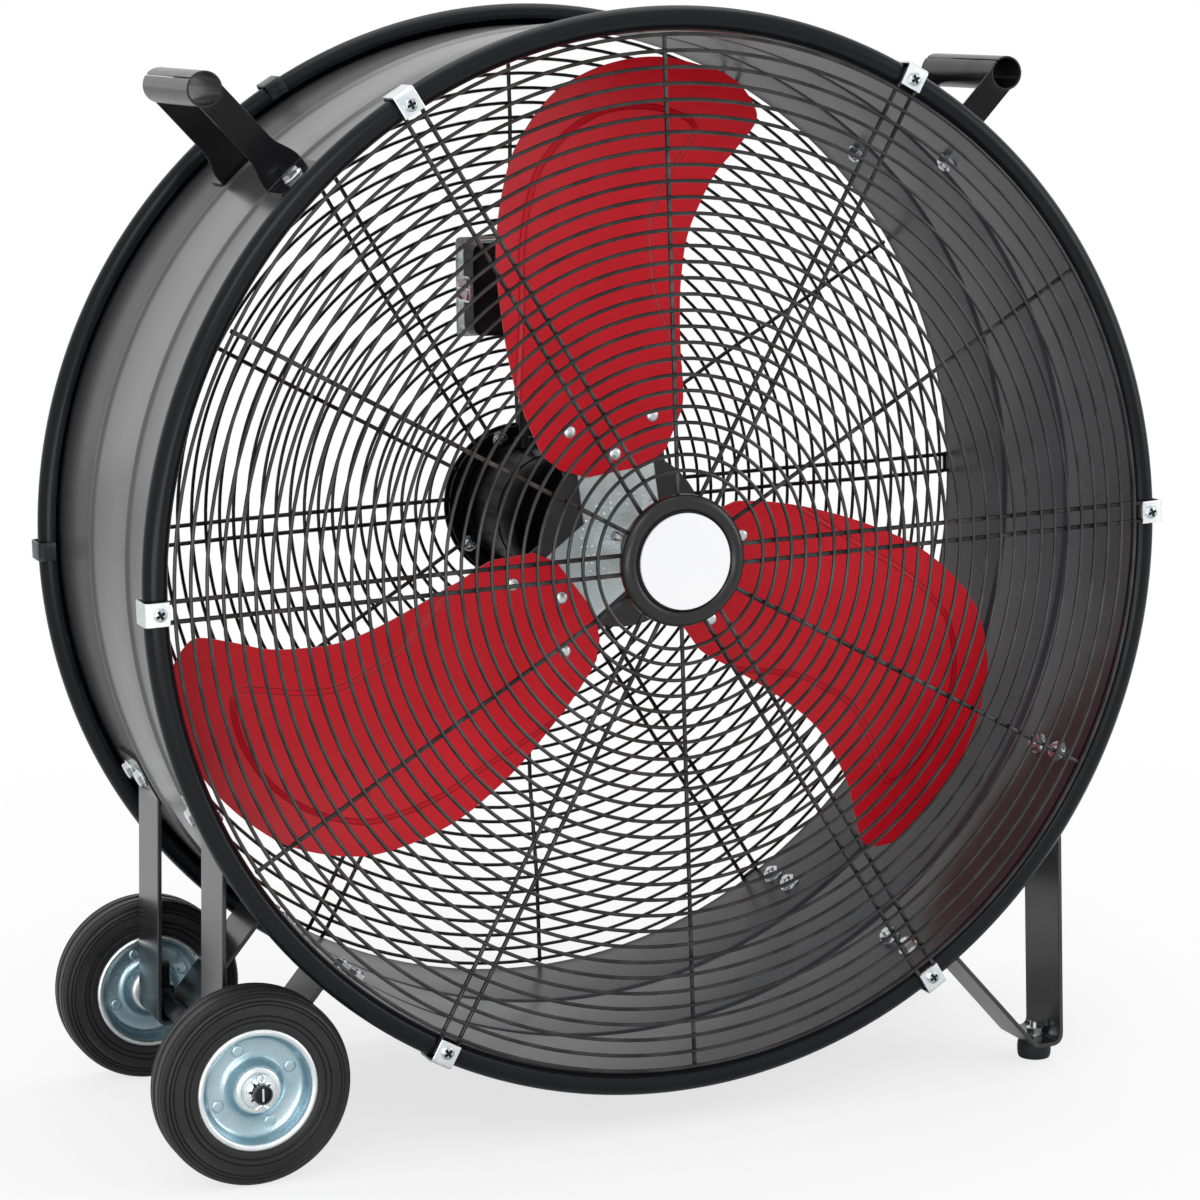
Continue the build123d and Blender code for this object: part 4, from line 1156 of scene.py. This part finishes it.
def bracketLine(stand):  # middle line of the bar, and the angles of its two tabs
    half = bracket["sheet"] / 2
    seat = drumOuter + half
    tabTurn = math.degrees(bracket["tab"] / drumOuter)
    strapAngle = -math.degrees(math.acos(stand["top"] / drumOuter))
    along = Vector(polar(1, math.radians(stand["diagonal"])))
    across = Vector((along.y, -along.x)) * half
    start = Vector((stand["plateInner"], stand["plateLevel"]))
    dot = start.dot(along)
    reach = -dot - math.sqrt(dot * dot - start.length_squared + drumOuter ** 2)
    hit = start + along * reach
    hitAngle = math.degrees(math.atan2(hit.y, hit.x))
    knee = start + across
    level = stand["plateLevel"] + half
    knee += along * ((level - knee.y) / along.y)
    touch = hit + across
    touch *= seat / touch.length
    touchAngle = math.degrees(math.atan2(touch.y, touch.x))
    upperTab = [strapAngle + tabTurn * (1 - k / 5) for k in range(5)] + [strapAngle + 0.2]
    lowerTab = [touchAngle - tabTurn * k / 5 for k in range(1, 6)]
    corners = [polar(seat, math.radians(angle)) for angle in upperTab]
    corners += [(stand["bottom"] + half, level), tuple(knee), tuple(touch)]
    corners += [polar(seat, math.radians(angle)) for angle in lowerTab]
    radii = [0.5] * 4 + [5, stand["bend"], 6, 5] + [0.5] * 4
    return rounded(corners, radii, 6), strapAngle + tabTurn * 0.55, hitAngle - tabTurn * 0.55


def bracketBar(stand):
    line, _, _ = bracketLine(stand)
    path = [(p[0], 0, p[1]) for p in line]
    bar = sweep(path, stripSection(bracket["width"] / 2, bracket["sheet"] / 2, 0.7), (0, 1, 0))
    return flippedSide(bar) if stand["mirrored"] else bar


tabPlaces = []
for kind, stand in stands.items():
    _, upper, lower = bracketLine(stand)
    for label, side in ends:
        bar = shifted(bracketBar(stand), 0, side * stand["offset"], 0)
        makePiece(f"{kind}Bracket{label.title()}", bar, "bracketPaint",
                  [f"{kind}_bracket_{label}"], 20)
        for angle in (upper, lower):
            turned = 180 - angle if stand["mirrored"] else angle
            for shift in (-bracket["boltGap"], bracket["boltGap"]):
                tabPlaces.append((turned, side * stand["offset"] + shift))
drumBolts("bracket", bracket["sheet"], tabPlaces)


# rubber feet

foot = dict(x=345.0, radius=14.0, height=16.0, stud=3.6, studTop=30.5)


def rubberFoot():
    r, h = foot["radius"], foot["height"]
    line = [(0, 0), (r - 3, 0), (r - 1.2, 0.6), (r - 0.4, 2.5), (r, 6), (r, 11), (r - 0.5, 14),
            (r - 1.4, h - 0.4), (r - 2.6, h), (0, h)]
    return shifted(post(line, 48), foot["x"], 0, floorLevel)


footNuts, footStuds = [], []
for label, side in ends:
    depth = side * stands["foot"]["offset"]
    makePiece("rubberFoot" + label.title(), shifted(rubberFoot(), 0, depth, 0), "footRubber",
              ["rubber_foot_" + label], 50)
    plateTop = floorLevel + foot["height"] + bracket["sheet"]
    nut = join([washer(8.2, 0, 1.0), shifted(hexBlock(7.0, 0, 5.0, bothEnds=True), 0, 0, 0.9)])
    footNuts.append(shifted(nut, foot["x"], depth, plateTop))
    stud = threadedEnd(foot["stud"], plateTop + 4, floorLevel + foot["studTop"])
    footStuds.append(shifted(stud, foot["x"], depth, 0))
fastenerSet("foot", "brightZinc", nuts=footNuts, studs=footStuds)


# axle and its clamping studs

axle = dict(x=-346.0, level=floorLevel + 75, radius=7.5, half=178.0, stud=4.0, studTop=107.5, stand=90.0,
            pin=0.8, pinEye=2.6, pinEyeAt=11.2, pinIn=4.4, washerInner=7.6, washerSeat=167.8)


def axleBar():  # round bar, bored a little way in at each end
    r, half = axle["radius"], axle["half"]
    line = [(0, half - 2.5), (5.4, half - 2.5), (5.9, half - 0.2), (6.2, half), (r - 0.6, half),
            (r, half - 0.6)]
    return shifted(lathe([(x, -y) for x, y in line] + line[::-1], 40), axle["x"], 0, axle["level"])


def splitPins():  # one through each end of the axle, its eye above and its legs bent apart below
    parts = []
    for side in (-1, 1):
        y = side * (axle["half"] - axle["pinIn"])
        turn, size = np.linspace(-math.pi / 2, 1.5 * math.pi, 17), axle["pinEye"]
        eye = [(size * math.cos(a), y, axle["pinEyeAt"] + size * math.sin(a)) for a in turn]
        parts.append(sweep(eye, circleSection(axle["pin"], 6), (0, 1, 0)))
        for lean in (-1, 1):
            leg = [(0.7 * lean, y, 9), (0.7 * lean, y, -8), (1.6 * lean, y, -9.6), (5.0 * lean, y, -11.6)]
            parts.append(sweep(leg, circleSection(axle["pin"], 6), (0, 1, 0)))
        bar = frontBoard(1.7, 10.6, 0.7, -1.0, 1.0, 0.3)  # flat bar across the bored end
        parts.append(shifted(bar, 0, side * (axle["half"] - 1.2), 0))
    return shifted(join(parts), axle["x"], 0, axle["level"])


def pushWasher():  # spring washer whose inner teeth grip the axle
    steps, inner = 96, axle["washerInner"]
    rows = ((inner, 3.2), (9.9, 2.2), (12.6, 2.0), (13.0, 1.6), (13.0, 0.3), (12.6, 0), (inner, 0))
    points = []
    for radius, level in rows:
        for k in range(steps):
            gap = 1.7 if level > 3 and k % 12 > 8 else 0
            x, z = polar(radius + gap, 2 * math.pi * k / steps)
            points.append((x, level, z))
    return np.array(points, float), ringFaces(len(rows), steps, loop=True)


makePiece("axleBar", axleBar(), "darkStud", ["axle"])
makePiece("splitPins", splitPins(), "brightZinc")
axleNuts, axleStuds = [], []
for side in (-1, 1):
    seat = (axle["x"], side * axle["stand"], axle["level"] + axle["radius"])
    axleNuts.append(shifted(hexBlock(7.5, 0, 6.0, bothEnds=True), *seat))
    stud = threadedEnd(axle["stud"], seat[2] + 5, floorLevel + axle["studTop"])
    axleStuds.append(shifted(stud, seat[0], seat[1], 0))
fastenerSet("axle", "darkStud", nuts=axleNuts, studs=axleStuds)
outward = shifted(pushWasher(), axle["x"], axle["washerSeat"], axle["level"])
makePiece("axleWashers", join([outward, flippedDepth(outward)]), "brightZinc", ["axle_washers"], 30)


# wheels: rubber tyres on pressed zinc discs

wheel = dict(offset=146.0, radius=75.0, half=20.0, bore=42.0, ribSteps=360, ribRise=0.32, lip=42.6,
             hubFace=18.0, rivetRing=31.0, rivet=4.6, rivetTurn=23, rivetSeat=6.9)


def tyre():
    r = wheel["radius"]
    side = [(wheel["bore"], 5), (45.5, 2.4), (48, 0.8), (50.5, 0.2), (52.5, 0.4), (53.2, 1.2), (54, 0.4),
            (56.5, 0), (57.2, 0.9), (58, 0), (59.2, 0), (64.8, 0.3), (65.5, 1.3), (66.3, 0.6), (67.6, 0.8),
            (68.2, 1.9), (69, 1.3), (70.6, 2.2), (71.1, 3.4), (72, 3.2), (73.4, 5), (73.6, 6.2), (74.2, 6.6),
            (74.8, 9), (74, 10), (74, 11), (r, 12), (r, 16.2), (74.1, 17), (74.1, 18)]
    line = [(radius, wheel["half"] - inset) for radius, inset in side]
    whole = line + [(radius, -y) for radius, y in reversed(line)]
    steps = wheel["ribSteps"]
    points, faces = lathe(whole, steps, loop=True)
    turn = np.arange(steps)
    ribs = (np.cos(np.radians(turn * 3)) > -0.2) * (turn % 2) * wheel["ribRise"]  # fine ribs in three arcs
    for row, (radius, y) in enumerate(whole):
        if 59 < radius < 65:
            points[row * steps:(row + 1) * steps, 1] += math.copysign(1, y) * (ribs - wheel["ribRise"] / 2)
    return points, faces


def wheelDisc():  # two deep dishes back to back, their lips rolled over the tyre
    front = [(14, 0.6), (16.4, 0.8), (17.4, 1.6), (18.6, 4.4), (20.4, 8.6), (22.6, 11.6), (25, 12.9),
             (27.4, 13.2), (35.2, 13), (37.6, 12.2), (39.4, 10), (40.6, 6.4), (41.4, 3), (42.2, 1.2),
             (43.6, 0.1), (45.4, 0.1), (46.8, 1.0), (47, 2), (45.8, 3.6), (43.4, 4.6)]
    back = [(41.0, 12.0), (39.5, 8.0), (37.5, 4.8), (35, 3.6), (27, 3.6), (24, 4.0), (21, 6.6), (18, 12.0),
            (14, 14)]
    dish = lathe([(radius, wheel["half"] - inset) for radius, inset in front] + back, 128, loop=True)
    web = lathe([(14, 1.2), (41.6, 1.2), (41.6, -1.2), (14, -1.2)], 64, loop=True)
    return join([dish, flippedDepth(dish), web])


def discFinish(out, inward):  # the rolled lips and the raised hubs take brighter zinc than the dishes: painted highlight on one pressed sheet
    return not wheel["hubFace"] <= math.hypot(out.x, out.z) <= wheel["lip"]


def wheelRivets():
    size, turns = wheel["rivet"], range(wheel["rivetTurn"], 360, 90)
    head = post([(0, -0.3), (size + 0.4, -0.3), (size, 0.3), (size - 0.1, 0.6), (size - 0.7, 1.0),
                 (size - 2, 1.05), (0, 1.1)], 28)
    parts = []
    for side in (-1, 1):
        parts += circleOf(head, wheel["rivetRing"], turns, side * wheel["rivetSeat"], side)
    return join(parts)


def wheelTube():
    line = [(7.8, 21.4), (11.6, 21.5), (13.4, 21.2), (14, 20.4), (14, 19)]
    return lathe([(x, -y) for x, y in line] + line[::-1], 48, loop=True)


for label, side in ends:
    place = (axle["x"], side * wheel["offset"], axle["level"])
    body, end = label + "_wheel", label.title()
    makePiece("tyre" + end, shifted(tyre(), *place), "tyreRubber", ["tyre_" + label], 30, body)
    discPiece = makePiece("wheelDisc" + end, shifted(wheelDisc(), *place), "wheelZinc",
                          ["wheel_disc_" + label], 50, body)
    # painted highlight: the lips and hubs of the disc take the brighter zinc
    repaint(discPiece, fanCentre + Vector(place) / 1000, ["brightZinc"], discFinish)
    makePiece("wheelRivets" + end, shifted(wheelRivets(), *place), "wheelZinc", body=body)
    makePiece("wheelTube" + end, shifted(wheelTube(), *place), "brightZinc",
              ["wheel_tube_" + label], body=body)
print("stand and wheels made")


# floor, world and lights

studio = dict(ambient=0.7, floorSize=30.0, shadowReach=(0.2, 1.5), shadowLight=0.72)
lamps = {  # place, aim, size and power
    "keyLamp": ((-1.6, -2.4, 2.3), (0, 0, 0.45), (1.4, 1.4), 24.0),
    "frontLamp": ((-0.9, -3.1, 0.35), (0, 0, 0.5), (1.2, 0.6), 12.0),
    "lowLamp": ((-1.5, -2.0, 0.2), (0.3, 0, 0.8), (1.0, 0.4), 7.0),
    "fillLamp": ((2.4, -1.6, 1.1), (0, 0, 0.45), (1.2, 1.6), 17.0),
    "topLamp": ((0.2, 0.3, 2.6), (0, 0, 0.4), (1.8, 1.8), 18.0),
}


def makeFloor():  # white to the camera, apart from the shadow about the fan
    half = studio["floorSize"] / 2
    mesh = bpy.data.meshes.new("studioFloor")
    corners = [(-half, -half, 0), (half, -half, 0), (half, half, 0), (-half, half, 0)]
    mesh.from_pydata(corners, [], [(0, 1, 2, 3)])
    floor = bpy.data.objects.new("studioFloor", mesh)
    scene.collection.objects.link(floor)
    material = bpy.data.materials.new("paleFloor")
    material.use_nodes = True
    tree = material.node_tree
    shader = tree.nodes["Principled BSDF"]
    shader.inputs["Base Color"].default_value = (0.9, 0.9, 0.9, 1)
    shader.inputs["Roughness"].default_value = 0.9
    shader.inputs["Specular IOR Level"].default_value = 0.1
    white = put(tree, "Emission", [("Color", (1, 1, 1, 1)), ("Strength", 1.0)])
    place = put(tree, "TexCoord").outputs["Object"]
    away = put(tree, "VectorMath", [(0, place)], operation="LENGTH").outputs["Value"]
    fade = ramp(tree, away, *studio["shadowReach"], studio["shadowLight"])
    seen = put(tree, "LightPath").outputs["Is Camera Ray"]
    amount = calc(tree, "MULTIPLY", fade, seen)
    mixed = put(tree, "MixShader", [(0, amount), (1, shader.outputs[0]), (2, white.outputs[0])])
    tree.links.new(mixed.outputs[0], tree.nodes["Material Output"].inputs["Surface"])
    mesh.materials.append(material)


def makeWorld():
    world = bpy.data.worlds.new("whiteStudio")
    scene.world = world
    world.use_nodes = True
    tree = world.node_tree
    background = tree.nodes["Background"]
    background.inputs["Color"].default_value = (1, 1, 1, 1)
    path = put(tree, "LightPath")
    seen = calc(tree, "MAXIMUM", path.outputs["Is Camera Ray"], path.outputs["Is Glossy Ray"])
    seen = calc(tree, "MAXIMUM", seen, path.outputs["Is Transmission Ray"])
    level = ramp(tree, seen, start=studio["ambient"])
    tree.links.new(level, background.inputs["Strength"])


def areaLamp(name, position, aim, size, power):
    data = bpy.data.lights.new(name, "AREA")
    data.shape = "RECTANGLE"
    data.size, data.size_y = size
    data.energy = power
    lamp = bpy.data.objects.new(name, data)
    lamp.location = position
    lamp.rotation_mode = "QUATERNION"
    lamp.rotation_quaternion = (Vector(aim) - Vector(position)).to_track_quat("-Z", "Y")
    lamp.visible_camera = False
    scene.collection.objects.link(lamp)


makeFloor()
makeWorld()
for name, values in lamps.items():
    areaLamp(name, *values)
scene.view_settings.view_transform = "Standard"

print("scene ready")
